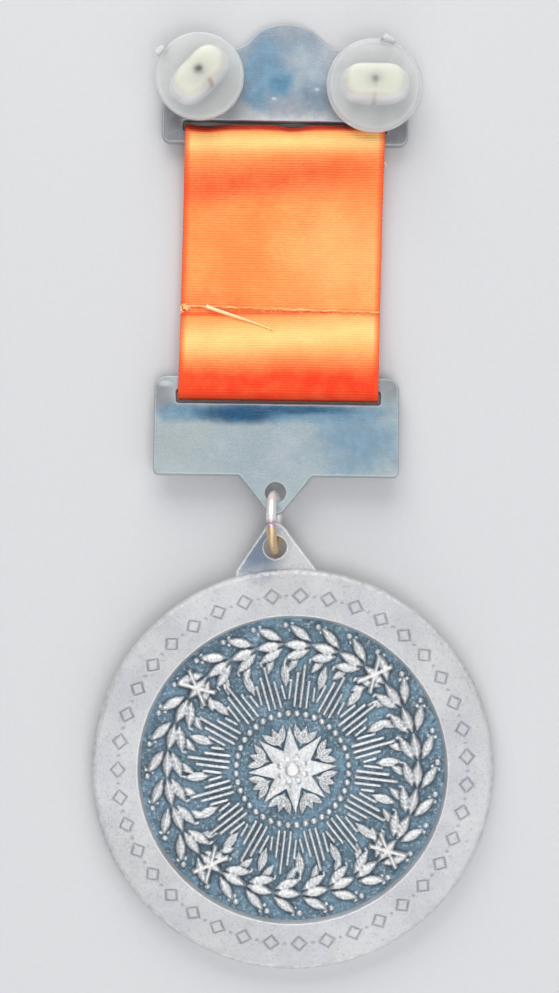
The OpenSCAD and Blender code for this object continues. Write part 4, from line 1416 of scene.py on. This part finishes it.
def light_masks(way, side, dips, below, is_lower):
    """Painted highlight where the cloth turns to the light, and painted shade where it turns away from
    it, where it dives into a tuck and under the cut.

    Way runs from 0 at the top bar to 1 at the bottom bar, side from -1 to 1, and below is in
    millimetres from the cut on the layer that lies under it.
    """
    edge_way = way - 0.012 * dips
    # Painted shade where the cloth dives into the top slot
    tuck = ease((-edge_way - 0.056) / 0.014)
    # Painted shade where the cloth turns away from the light, strongest where it dives into both slots
    deep = 0.68 * hump(way + 0.05 * side, 0.14, 0.085) * (1 - 0.45 * ease(side))
    deep += 0.3 * hump(way, 0.68, 0.05) * ease(0.3 - side) + 1.1 * ease((way - 0.88) / 0.145)
    deep += 1.2 * ease((-edge_way - 0.05) / 0.015)
    # Painted shadow of the cut's step on the layer under it
    deep += 0.7 * hump(below, 0.3, 0.3) * is_lower
    # Painted highlight where the cloth faces the light
    glow = hump(way, -0.005, 0.042) + hump(way + 0.02 * side, 0.822, 0.068)
    glow += 0.4 * ease((side + 0.3) / 0.9) * hump(way, 0.48, 0.2)
    return {"deep": deep, "glow": glow, "tuck": tuck}


def strand(rng, start, end, radius, wild=0.12, rest=None):
    """A fibre between two points, bent at random and thinner to its end; rest keeps it on the cloth."""
    start, end = np.asarray(start, float), np.asarray(end, float)
    t = np.linspace(0, 1, 9)[:, None]
    bend = rng.normal(0, wild, 3) * np.linalg.norm(end - start)
    line = start + (end - start) * t + bend * np.sin(np.pi * t) * [1, 1, 0.3]
    if rest is not None:
        line[:, 2] = np.maximum(line[:, 2], rest(line[:, 1]) + 1.3 * radius)
    return tube(line, radius * (1 - 0.55 * t[:, 0]), 5)


def fibre_piece(name, strands, cloth):
    """Several fibres as one piece."""
    tip = np.tile(np.linspace(0, 1, len(strands[0][0])), len(strands))
    return dress(add_piece(name, joined(strands), masks={"tip": tip}), "jewel", [cloth])


# Clutches

CLUTCH_SECTORS = 160
PAD_ROUND = 0.38 * MM
HUB_DRAFT = 0.35 * MM
HUB_ROUND = 0.75 * MM
HUB_FLARE = 0.3 * MM
HUB_BEND = np.radians([25, 50, 70, 90])
BORE_PLAY = 0.05 * MM
PIN_HOLE = 0.10 * MM
DIMPLE = 0.08 * MM
SEAT_GAP = 0.05 * MM
# The closed end of a bore: share of its radius, and how far below the cap
BORE_END = ((0.2, 0.0 * MM), (0.55, 0.15 * MM), (1.0, 0.6 * MM))
# How clear the rubber is and how deep light enters it, for the pads and the hubs
PAD_CLEAR, PAD_DEPTH = 0.5, 2.0 * MM
HUB_CLEAR, HUB_DEPTH = 0.12, 7.0 * MM
# The parting flash round the pad, the hub's turn, waist and squareness, the rubber over a closed bore,
# the nub's turn, and brown marks as place, size and amount in millimetres
CLUTCHES = (
    {"side": "left", "flash": 0.0, "turn": 48.0, "waist": 0.07, "power": 2.5, "cap": 0.0, "nub": 147.0,
     "marks": (((0.05, 0.0), (0.42, 0.42), 0.9), ((1.5, -1.3), (0.45, 0.4), 0.5))},
    {"side": "right", "flash": 0.3 * MM, "turn": 0.0, "waist": 0.0, "power": 3.0, "cap": 0.35 * MM,
     "nub": 74.0, "marks": (((0.1, -0.6), (0.3, 0.7), 0.15), ((-0.1, -2.3), (0.4, 0.8), 0.35))},
)


def hub_radius(angles, long, wide, waist, power):
    """Distance from the middle to a hub's side, in each direction."""
    c, s = np.abs(np.cos(angles)), np.abs(np.sin(angles))
    radius = ((c / (long / 2)) ** power + (s / (wide / 2)) ** power) ** (-1 / power)
    return radius * (1 - waist * s**8)


def pad_outline(soft, pad, flash):
    """The pad as (radius, height) pairs, from its bore under and round its edge to its top."""
    thick, edge = soft.pad_thick, PAD_ROUND
    outline = [(soft.pin / 2 + BORE_PLAY, 0.0), (pad * 0.5, 0.0)]
    outline += [*arc((pad - edge, edge), edge, -90, 0, 3)]
    if flash:
        outline += [
            (pad + flash * 0.8, edge + 0.03 * MM),
            (pad + flash, edge + 0.12 * MM),
            (pad + flash, thick - edge - 0.12 * MM),
            (pad + flash * 0.7, thick - edge - 0.02 * MM),
        ]
    outline += [*arc((pad - edge, thick - edge), edge, 0, 90, 3)]
    return outline + [(pad - 0.6 * MM, thick - 0.04 * MM), (pad - 0.75 * MM, thick)]


def clutch_shape(soft, pad, flash, turn, waist, power, cap):
    """A pad with its hub and bore, as one closed skin."""
    bore, thick = soft.pin / 2 + BORE_PLAY, soft.pad_thick
    top = thick + soft.hub_high
    angles = circle(CLUTCH_SECTORS) - math.radians(turn)
    hub = hub_radius(angles, soft.hub_long, soft.hub_wide, waist, power)
    # Radius and height of each ring, from the bore's foot out, up the hub and in again
    rings = pad_outline(soft, pad, flash)
    rings += [(hub + HUB_FLARE, thick), (hub + HUB_FLARE * 0.4, thick + 0.06 * MM)]
    rings += [(hub, thick + 0.3 * MM), (hub - HUB_DRAFT * 0.5, (thick + top) / 2)]
    rings += [(hub - HUB_DRAFT, top - HUB_ROUND)]
    for a in HUB_BEND:
        out = hub - HUB_DRAFT - HUB_ROUND * (1 - math.cos(a))
        rings.append((out, top - HUB_ROUND * (1 - math.sin(a))))
    inner = hub - HUB_DRAFT - HUB_ROUND
    if cap:
        end = [(bore * part, top - cap - down) for part, down in BORE_END]
        dimple = [(inner * 0.6, top), (inner * 0.3, top - DIMPLE * 0.5), (inner * 0.02, top - DIMPLE)]
        return loft(turned(end + rings + dimple, CLUTCH_SECTORS))
    mouth = 0.5 * MM
    rings += [((inner + mouth) / 2, top), (mouth, top - 0.01 * MM)]
    rings += [((mouth + PIN_HOLE) / 2, top - 0.05 * MM), (PIN_HOLE, top - 0.10 * MM)]
    rings += [(PIN_HOLE, top - 0.22 * MM), (bore, top - 0.45 * MM)]
    return loft(turned(rings, CLUTCH_SECTORS), closed=True)


def sprue_shape(pad, turn, out, thick, wide):
    """The torn tab at the edge of a pad."""
    deep, root = 0.40 * MM, 0.5 * MM
    angles = circle(20)

    def squared(value):
        """A round wave with flatter sides."""
        return np.sign(value) * np.abs(value) ** 0.6

    rings = []
    for t in np.linspace(0, 1, 6):
        reach = pad - root + (out + root) * t
        size = (1 - 0.2 * t) if t < 1 else 0.55
        rough = 1 + 0.16 * t * np.sin(3 * angles + 1.3 + 4 * t)
        side = wide * size * rough * squared(np.cos(angles))
        rise = deep * size * rough * squared(np.sin(angles))
        rings.append(np.column_stack([reach + 0.12 * MM * t * np.cos(angles), side, thick / 2 + rise]))
    return moved(loft(rings), Matrix.Rotation(math.radians(turn), 4, "Z"))


# Bars

ROUGH_EDGE = 0.02 * MM
PIN_WEAR = 0.3
# Spots of patina, of dull metal and of painted shadow: colour, place, size, share and raggedness, in
# millimetres from the ribbon edge
TOP_BAR_SPOTS = (
    ("silver", (3.2, 9.0), (4.2, 4.0), 0.16, 1.2),
    ("silver", (1.0, 2.4), (9.0, 1.2), 0.35, 0.7),
    ("dull_and_shade", (2.0, 5.2), (6.0, 1.9), 0.4, 0.9),
    ("stain", (3.4, 8.4), (4.6, 5.2), 0.38, 1.0),
    ("stain", (0.4, 13.6), (5.4, 2.4), 0.34, 0.9),
    ("dull_and_shade", (0.0, 14.0), (5.6, 2.2), 0.22, 0.9),
    ("stain", (3.9, 6.2), (2.7, 2.3), 0.4, 0.9),
    ("dull_and_shade", (3.8, 6.0), (2.6, 2.2), 0.35, 0.9),
    # Painted shadow of the clutch pads on the bar's two ends
    ("dull_and_shade", (-14.2, 1.2), (3.4, 4.2), 0.85, 0.6),
    ("dull_and_shade", (14.4, 1.2), (3.4, 4.2), 0.8, 0.6),
    ("stain", (-2.9, 9.2), (4.2, 5.2), 0.80, 0.8),
    ("stain", (-0.6, 7.4), (1.7, 1.7), 0.95, 0.7),
    ("stain", (-3.6, 5.6), (1.8, 1.6), 0.6, 0.9),
)
BOTTOM_BAR_SPOTS = (
    ("stain", (10.4, -7.2), (6.6, 5.8), 0.62, 1.0),
    ("stain", (-12.6, -4.4), (2.8, 1.8), 0.6, 0.9),
    ("stain", (2.5, -9.5), (14.0, 7.0), 0.14, 1.0),
    ("stain", (-1.0, -4.5), (15.5, 1.5), 0.8, 0.7),
    # Darker at the bar's two upper corners beside the ribbon
    ("dull_and_shade", (14.2, -1.2), (2.0, 2.6), 0.7, 0.7),
    ("dull_and_shade", (-14.4, -2.4), (1.9, 2.4), 0.75, 0.7),
    ("stain_dark", (-4.8, -4.7), (6.3, 1.5), 1.0, 0.5),
    ("stain_dark", (3.0, -4.1), (7.5, 0.7), 0.85, 0.6),
)
# Small pale marks: place and size
TOP_BAR_PALE = (((-1.4, 5.7), (0.35, 0.25)), ((3.95, 6.95), (0.35, 0.25)))
BOTTOM_BAR_PALE = (((-13.9, -1.0), (1.0, 0.5)),)


def bar_plate(metal, outline, slot_low, slot_high, holes, seed):
    """A bar with its ribbon slot, as (points, faces) and its wear."""
    slot = rounded_box(slot_low, slot_high, metal.slot_round)[::-1]
    return Sheared([outline, slot, *holes], metal.bar_thick, metal.bar_bevel, ROUGH_EDGE, seed).build()


def mount_place(name):
    """Where the record puts a mount."""
    for mount in frame["record"]["mounts"]:
        if mount["name"] == name:
            return Vector(mount["pos_m"])
    raise KeyError(name)


# Stage

FLOOR_HALF = 1.2
# Lights: name, place, size, power and colour
LIGHTS = (
    ("key", (-0.05, 0.38, 0.27), 0.40, 1.68, (1.0, 0.985, 0.96)),
    ("overhead", (0.02, -0.14, 0.50), 0.30, 1.0, (1.0, 1.0, 1.0)),
    ("fill", (0.30, -0.22, 0.36), 0.40, 0.4, (0.93, 0.96, 1.0)),
    ("front", (-0.04, -0.42, 0.22), 0.36, 0.55, (1.0, 0.99, 0.96)),
)
ROOM_COLOUR = (0.80, 0.84, 0.90, 1.0)
ROOM_LIGHT = 0.40
CAMERA_PLACE = (-1.612 * MM, -0.129 * MM, 300 * MM)
# From the camera to the medal's face, the photograph's height in pixels, and a pixel's size there
FACE_AWAY = 296.5 * MM
PHOTO_HEIGHT = 993
PIXEL = 0.1242 * MM


# Operators


def settings(context):
    """The sizes of the metal, the sizes of the ribbon and the clutches, and the colours."""
    scene = context.scene
    return scene.jewel_metal, scene.jewel_soft, scene.jewel_finish


class JEWEL_OT_stage(bpy.types.Operator):
    """Makes the floor, the light and the camera."""

    bl_idname = "jewel.stage"
    bl_label = "Stage"
    bl_options = {"REGISTER", "UNDO"}

    def execute(self, context):
        _, _, finish = settings(context)
        h = FLOOR_HALF
        floor = add_piece("floor", ([(-h, -h, 0), (h, -h, 0), (h, h, 0), (-h, h, 0)], [[0, 1, 2, 3]]))
        floor.data.materials.append(floor_paper(finish))
        for row in LIGHTS:
            self.light(*row)
        world = bpy.data.worlds.new("Room")
        world.use_nodes = True
        sky = world.node_tree.nodes["Background"].inputs
        sky["Color"].default_value = ROOM_COLOUR
        sky["Strength"].default_value = ROOM_LIGHT
        bpy.context.scene.world = world
        bpy.context.scene.view_settings.view_transform = "Standard"
        self.camera()
        return {"FINISHED"}

    @staticmethod
    def light(name, place, size, power, tone):
        """A soft square light that faces the jewel."""
        lamp = bpy.data.lights.new(name, "AREA")
        lamp.size = size
        lamp.energy = power
        lamp.color = tone
        holder = bpy.data.objects.new(name, lamp)
        holder.location = place
        holder.rotation_euler = (-Vector(place)).to_track_quat("-Z", "Y").to_euler()
        bpy.context.scene.collection.objects.link(holder)

    @staticmethod
    def camera():
        """The camera straight above, framed as the photograph is."""
        shot = bpy.data.cameras.new("camera")
        shot.lens = shot.sensor_width * FACE_AWAY / (PIXEL * PHOTO_HEIGHT)
        holder = bpy.data.objects.new("camera", shot)
        holder.location = CAMERA_PLACE
        bpy.context.scene.collection.objects.link(holder)
        bpy.context.scene.camera = holder


class JEWEL_OT_medal(bpy.types.Operator):
    """Makes the cast medal: its dished body with the lug, and its field in two parts."""

    bl_idname = "jewel.medal"
    bl_label = "Medal"
    bl_options = {"REGISTER", "UNDO"}

    def execute(self, context):
        metal, _, finish = settings(context)
        plate = Plate("medal")
        radius = (plate.high[0] - plate.low[0]) / 2
        place = plate.at(plate.middle_x, plate.low[1] + radius, plate.low[2])
        shift, lean = Matrix.Translation(place.translation), place.to_3x3().to_4x4()
        body, masks = medal_body(metal, radius)
        lug, wear = medal_lug(metal, radius)
        masks = {
            "edge": np.concatenate([masks["edge"], wear]),
            "groove": np.concatenate([masks["groove"], np.zeros(len(wear))]),
        }
        piece = add_piece("medal_body", moved(joined([body, lug]), lean), shift, masks, sharp=50)
        dress(piece, "jewel", [rim_metal(finish)], ["medal"])
        floor = (metal.disc_thick - metal.field_depth) / MM
        end = (radius - metal.rim_width - metal.field_draft) / MM + 0.1
        cast = field_metal(finish)
        outer_ring = (FIELD_SPLIT, end, FIELD_RINGS, FIELD_SECTORS)
        for name, sizes in (("medal_middle", FIELD_MIDDLE), ("medal_field", outer_ring)):
            shape, masks = field_piece(*sizes, floor, floor - 0.1)
            piece = add_piece(name, moved(shape, lean), shift, masks, sharp=70)
            dress(piece, "jewel", [cast], ["medal"])
        return {"FINISHED"}


class JEWEL_OT_top_bar(bpy.types.Operator):
    """Makes the arched bar with its two pins."""

    bl_idname = "jewel.top_bar"
    bl_label = "Top bar"
    bl_options = {"REGISTER", "UNDO"}

    def execute(self, context):
        metal, soft, finish = settings(context)
        plate = Plate("top_bar")
        half, foot = metal.slot_width / 2, metal.top_strip
        shape, wear = bar_plate(metal, self.outline(metal, *(plate.high - plate.low)[:2]),
                                (-half, foot), (half, foot + metal.top_slot), [], seed=11)
        parts, wears = [shape], [wear]
        for name in ("pin_left", "pin_right"):
            seat = plate.own(mount_place(name)) - Vector((plate.middle_x, plate.low[1], plate.low[2]))
            on_back = Matrix.Translation((seat.x, seat.y, metal.bar_thick))
            parts.append(moved(self.pin(soft), on_back))
            wears.append(np.full(len(parts[-1][0]), PIN_WEAR))
        place = plate.at(plate.middle_x, plate.low[1], plate.low[2])
        piece = add_piece("top_bar_metal", joined(parts), place, {"edge": np.concatenate(wears)})
        dressing = bar_metal("Top bar", finish, finish.top_bar, TOP_BAR_SPOTS, TOP_BAR_PALE)
        dress(piece, "jewel", [dressing], ["top_bar"])
        return {"FINISHED"}

    @staticmethod
    def outline(metal, width, height):
        """The bar's outline, anticlockwise from its lower left corner."""
        corner, shoulder = 1.1 * MM, metal.shoulder
        arch, hollow = metal.arch_radius, metal.arch_hollow
        middle, hollow_y, reach = height - arch, shoulder + hollow, arch + hollow
        hollow_x = math.sqrt(reach**2 - (hollow_y - middle) ** 2)
        meet = math.degrees(math.atan2(hollow_y - middle, hollow_x))
        box = rounded_box((-width / 2, 0), (width / 2, shoulder), corner)
        upper_left = len(box) * 3 // 4
        return np.concatenate([
            box[:upper_left],
            arc((hollow_x, hollow_y), hollow, 270, 180 + meet, 12),
            arc((0, middle), arch, meet, 180 - meet, 30),
            arc((-hollow_x, hollow_y), hollow, -meet, -90, 12),
            box[upper_left:],
        ])

    @staticmethod
    def pin(soft):
        """A pointed pin with its soldered collar, on a fillet of solder that sinks into the bar."""
        collar, pin, high = soft.collar / 2, soft.pin / 2, soft.collar_high
        tip = high + soft.pad_thick + soft.hub_high - 0.5 * MM
        solder, sunk, point = collar + 0.45 * MM, -0.2 * MM, 0.05 * MM
        # Radius and height of each ring, from the bottom up
        outline = [
            (point, sunk), (solder, sunk), (solder, 0.03 * MM), (collar + 0.18 * MM, 0.12 * MM),
            (collar, 0.4 * MM), (collar, high - 0.15 * MM), (collar - 0.15 * MM, high),
            (pin + 0.05 * MM, high), (pin, high + 0.1 * MM), (pin, tip - pin),
            (pin * 0.8, tip - pin * 0.5), (pin * 0.4, tip - 0.05 * MM), (point, tip),
        ]
        return loft(turned(outline, 48))


class JEWEL_OT_bottom_bar(bpy.types.Operator):
    """Makes the plain bar with its slot and its pointed lug."""

    bl_idname = "jewel.bottom_bar"
    bl_label = "Bottom bar"
    bl_options = {"REGISTER", "UNDO"}

    def execute(self, context):
        metal, _, finish = settings(context)
        plate = Plate("bottom_bar")
        width, reach = (plate.high - plate.low)[:2]
        height, upper_corner, lower_corner = metal.bottom_height, 1.6 * MM, 0.65 * MM
        box = rounded_box((-width / 2, -height), (width / 2, 0), lower_corner, upper_corner)
        lug_width, lug_tip, hole_out = 9.1 * MM, 1.4 * MM, 2.15 * MM
        lug = pointed_lug(lug_width, height, reach, lug_tip) * [1, -1]
        quarter = len(box) // 4
        outline = np.concatenate([box[:quarter], lug[::-1], box[quarter:]])
        half, off, slot_top = metal.slot_width / 2, metal.bottom_slot_off, -metal.bottom_strip
        hole = arc((0, -height - hole_out), metal.bar_hole / 2, 360, 0, 40)[:-1]
        shape, wear = bar_plate(metal, outline, (-half + off, slot_top - metal.bottom_slot),
                                (half + off, slot_top), [hole], seed=14)
        place = plate.at(plate.middle_x, plate.high[1], plate.low[2])
        piece = add_piece("bottom_bar_metal", shape, place, {"edge": wear})
        dressing = bar_metal("Bottom bar", finish, finish.bar, BOTTOM_BAR_SPOTS, BOTTOM_BAR_PALE)
        dress(piece, "jewel", [dressing], ["bottom_bar"])
        return {"FINISHED"}


class JEWEL_OT_jump_ring(bpy.types.Operator):
    """Makes the standing ring of round wire, with its butt joint on top."""

    bl_idname = "jewel.jump_ring"
    bl_label = "Jump ring"
    bl_options = {"REGISTER", "UNDO"}

    def execute(self, context):
        metal, _, finish = settings(context)
        points = column(frame["nodes"]["jump_ring"].data.vertices, "co", 3)
        middle = (points.min(axis=0) + points.max(axis=0)) / 2
        outer = np.linalg.norm(points - middle, axis=1).max()
        shape, joint_reflection = self.shape(metal, outer)
        piece = add_piece("jump_ring_wire", shape, self.place(points, middle), {"edge": joint_reflection})
        dress(piece, "jewel", [ring_metal(finish)], ["jump_ring"])
        return {"FINISHED"}

    @staticmethod
    def place(points, middle):
        """The matrix of the ring: z through its hole and y up."""
        axis = Vector(np.linalg.svd(points - points.mean(axis=0), full_matrices=False)[2][2])
        axis = axis if axis.x > 0 else -axis
        up = (Vector((0, 0, 1)) - axis * axis.z).normalized()
        place = Matrix((up.cross(axis), up, axis)).transposed().to_4x4()
        place.translation = Vector(middle)
        return place

    @staticmethod
    def shape(metal, outer):
        """(points, faces) of the wire from one end of the joint to the other, and its painted dark
        reflection there.
        """
        wire, round_end, joint_reflection_reach = metal.wire / 2, 0.14 * MM, 0.55 * MM
        ring = outer - wire
        gap = metal.ring_gap / ring / 2
        start = gap + round_end / ring
        turns = [gap, *np.linspace(start, FULL_TURN - start, 180), FULL_TURN - gap]
        around = circle(32)
        rings, joint_reflection = [], []
        for i, turn in enumerate(turns):
            thick = wire - round_end if i in (0, len(turns) - 1) else wire
            thick += 0.012 * MM * math.sin(7 * turn) * math.sin(3 * turn)
            out = ring + thick * np.cos(around)
            angle = math.pi / 2 + turn
            side = thick * np.sin(around)
            rings.append(np.column_stack([out * math.cos(angle), out * math.sin(angle), side]))
            away = min(turn, FULL_TURN - turn) * ring
            joint_reflection.append(np.full(len(around), hump(away, 0, joint_reflection_reach)))
        return loft(rings), np.concatenate(joint_reflection)


class JEWEL_OT_ribbon(bpy.types.Operator):
    """Makes the ribbon that runs round both strips, with its loose fibres."""

    bl_idname = "jewel.ribbon"
    bl_label = "Ribbon"
    bl_options = {"REGISTER", "UNDO"}

    def execute(self, context):
        metal, soft, finish = settings(context)
        path = RibbonPath(soft, metal, Plate("top_bar"), Plate("bottom_bar"))
        shape, masks = ribbon_shape(soft, path)
        cloth = add_piece("ribbon_silk", shape, masks=masks, sharp=60)
        dress(cloth, "jewel", [ribbon_cloth(finish, soft.rib_pitch)], ["ribbon"])
        rng = np.random.default_rng(12)
        orange = thread_cloth("Orange thread", *ORANGE_THREAD)
        pieces = [
            self.frays(soft, path, rng, orange),
            self.hem(soft, path, orange),
            self.thread(path, rng),
            self.tufts(rng),
        ]
        return {"FINISHED"}

    @staticmethod
    def frays(soft, path, rng, cloth):
        """The raw edge's fibres."""
        half = soft.ribbon_width / 2
        strands = []
        for x in rng.uniform(-half, half, soft.frays):
            start, _ = path.at(np.array([1.1 * MM - x * math.tan(CUT_LEAN)]), np.array([x]))
            start = start[0] + [0, 0, rng.uniform(-0.12, 0.02) * MM]
            long = rng.uniform(0.12, 0.5) * MM
            end = start + [rng.normal(0, 0.35) * long, -long, -rng.uniform(0.0, 0.12) * MM]
            strands.append(strand(rng, start, end, rng.uniform(0.035, 0.06) * MM))
        return fibre_piece("ribbon_frays", strands, cloth)

    @staticmethod
    def hem(soft, path, cloth):
        """The last cross thread, which wanders along the raw edge."""
        end, sides = soft.ribbon_width / 2 - 0.1 * MM, 7
        x = np.linspace(-end, end, 140)
        wander = 0.13 * MM * ripple_along(x, 1.4, 44)
        line, out = path.at(1.15 * MM - x * math.tan(CUT_LEAN) + wander, x)
        thick = np.maximum(0.11 * MM * (1 + 0.45 * ripple_along(x, 0.8, 45)), 0.04 * MM)
        tip = np.repeat(ease(0.5 + 0.6 * ripple_along(x, 2.5, 46)), sides)
        hem = add_piece("ribbon_hem", tube(line + out * 0.10 * MM, thick, sides), masks={"tip": tip})
        return dress(hem, "jewel", [cloth])

    @staticmethod
    def thread(path, rng):
        """The pale loose thread that lies on the cloth, of several fibres that end one by one."""
        head, tail = np.array(THREAD_HEAD) * MM, np.array(THREAD_TAIL) * MM
        strands = []
        for reach, thick in THREAD_FIBRES:
            spread = rng.normal(0, 0.10, 3) * MM * [1, 1, 0.4]
            end = head + (tail - head) * reach + rng.normal(0, 0.03, 3) * MM * [1, 1, 0.3]
            strands.append(strand(rng, head + spread, end, thick * MM, 0.008, path.surface))
        return fibre_piece("ribbon_thread", strands, thread_cloth("Pale thread", *PALE_THREAD))

    @staticmethod
    def tufts(rng):
        """Small tufts of fibres at the edges."""
        strands = []
        for corner, count, spread in TUFTS:
            for _ in range(count):
                start = np.array(corner) * MM + rng.normal(0, 0.14, 3) * MM * [4 * spread, 1, 0.4]
                reach = np.array([rng.normal(0, spread), -abs(rng.normal(0.4, 0.2)), rng.normal(0, 0.05)])
                strands.append(strand(rng, start, start + reach * MM, 0.08 * MM, wild=0.1))
        return fibre_piece("ribbon_tufts", strands, thread_cloth("Yellow thread", *YELLOW_THREAD))


class JEWEL_OT_clutches(bpy.types.Operator):
    """Makes the two rubber clutches on their pins."""

    bl_idname = "jewel.clutches"
    bl_label = "Clutches"
    bl_options = {"REGISTER", "UNDO"}

    def execute(self, context):
        _, soft, finish = settings(context)
        plate = Plate("top_bar")
        clear = rubber("Clear rubber", finish.rubber, PAD_CLEAR, PAD_DEPTH)
        thick, top = soft.pad_thick, soft.pad_thick + soft.hub_high
        for row in CLUTCHES:
            side, flash = row["side"], row["flash"]
            pad = getattr(soft, f"pad_{side}") / 2
            shape = clutch_shape(soft, pad, flash, row["turn"], row["waist"], row["power"], row["cap"])
            nub = sprue_shape(pad, row["nub"], 0.75 * MM + flash / 2, thick, 0.8 * MM + flash / 2)
            both = joined([shape, nub])
            away = np.linalg.norm(both[0][:, :2], axis=1)
            # Painted highlight along a pad's rounded rim, and the white of the nub
            rim_highlight_and_nub = ease((away - pad + 0.5 * MM) / (0.35 * MM))
            seat = plate.own(mount_place(f"pin_{side}")) + Vector((0, 0, SEAT_GAP))
            place = plate.axes @ Matrix.Translation(seat)
            piece = add_piece(f"clutch_{side}_rubber", both, place, {"edge": rim_highlight_and_nub}, sharp=55)
            hub = rubber(f"Hub rubber {side}", RUBBER_HUB, HUB_CLEAR, HUB_DEPTH, row["marks"],
                         finish.hub, top / MM)
            dress(piece, f"clutch_{side}", [clear, hub], [f"clutch_{side}"])
            for face in piece.data.polygons:
                outside = face.center.xy.length > pad + flash + 0.05 * MM
                if outside or face.center.z > thick + 0.02 * MM:
                    face.material_index = 1
        return {"FINISHED"}


class JEWEL_PT_panel(bpy.types.Panel):
    """The jewel's operators, sizes and colours in the sidebar."""

    bl_label = "Jewel"
    bl_space_type = "VIEW_3D"
    bl_region_type = "UI"
    bl_category = "Jewel"

    def draw(self, context):
        for operator in OPERATORS:
            self.layout.operator(operator.bl_idname)
        for group in (context.scene.jewel_metal, context.scene.jewel_soft, context.scene.jewel_finish):
            box = self.layout.box()
            for name in group.bl_rna.properties.keys():
                if name not in ("rna_type", "name"):
                    box.prop(group, name)


GROUPS = {"jewel_metal": JewelMetal, "jewel_soft": JewelSoft, "jewel_finish": JewelFinish}
OPERATORS = (
    JEWEL_OT_stage,
    JEWEL_OT_top_bar,
    JEWEL_OT_bottom_bar,
    JEWEL_OT_ribbon,
    JEWEL_OT_medal,
    JEWEL_OT_jump_ring,
    JEWEL_OT_clutches,
)


def register():
    """Adds the classes and the scene's property groups."""
    for item in (*GROUPS.values(), *OPERATORS, JEWEL_PT_panel):
        bpy.utils.register_class(item)
    for name, group in GROUPS.items():
        setattr(bpy.types.Scene, name, PointerProperty(type=group))


def unregister():
    """Takes away what register added."""
    for name in GROUPS:
        delattr(bpy.types.Scene, name)
    for item in (JEWEL_PT_panel, *OPERATORS[::-1], *list(GROUPS.values())[::-1]):
        bpy.utils.unregister_class(item)


def main():
    """Builds every piece."""
    register()
    for operator in OPERATORS:
        kind, name = operator.bl_idname.split(".")
        if getattr(getattr(bpy.ops, kind), name)() != {"FINISHED"}:
            raise RuntimeError(f"{operator.bl_idname} didn't finish")


if __name__ == "__main__":
    main()
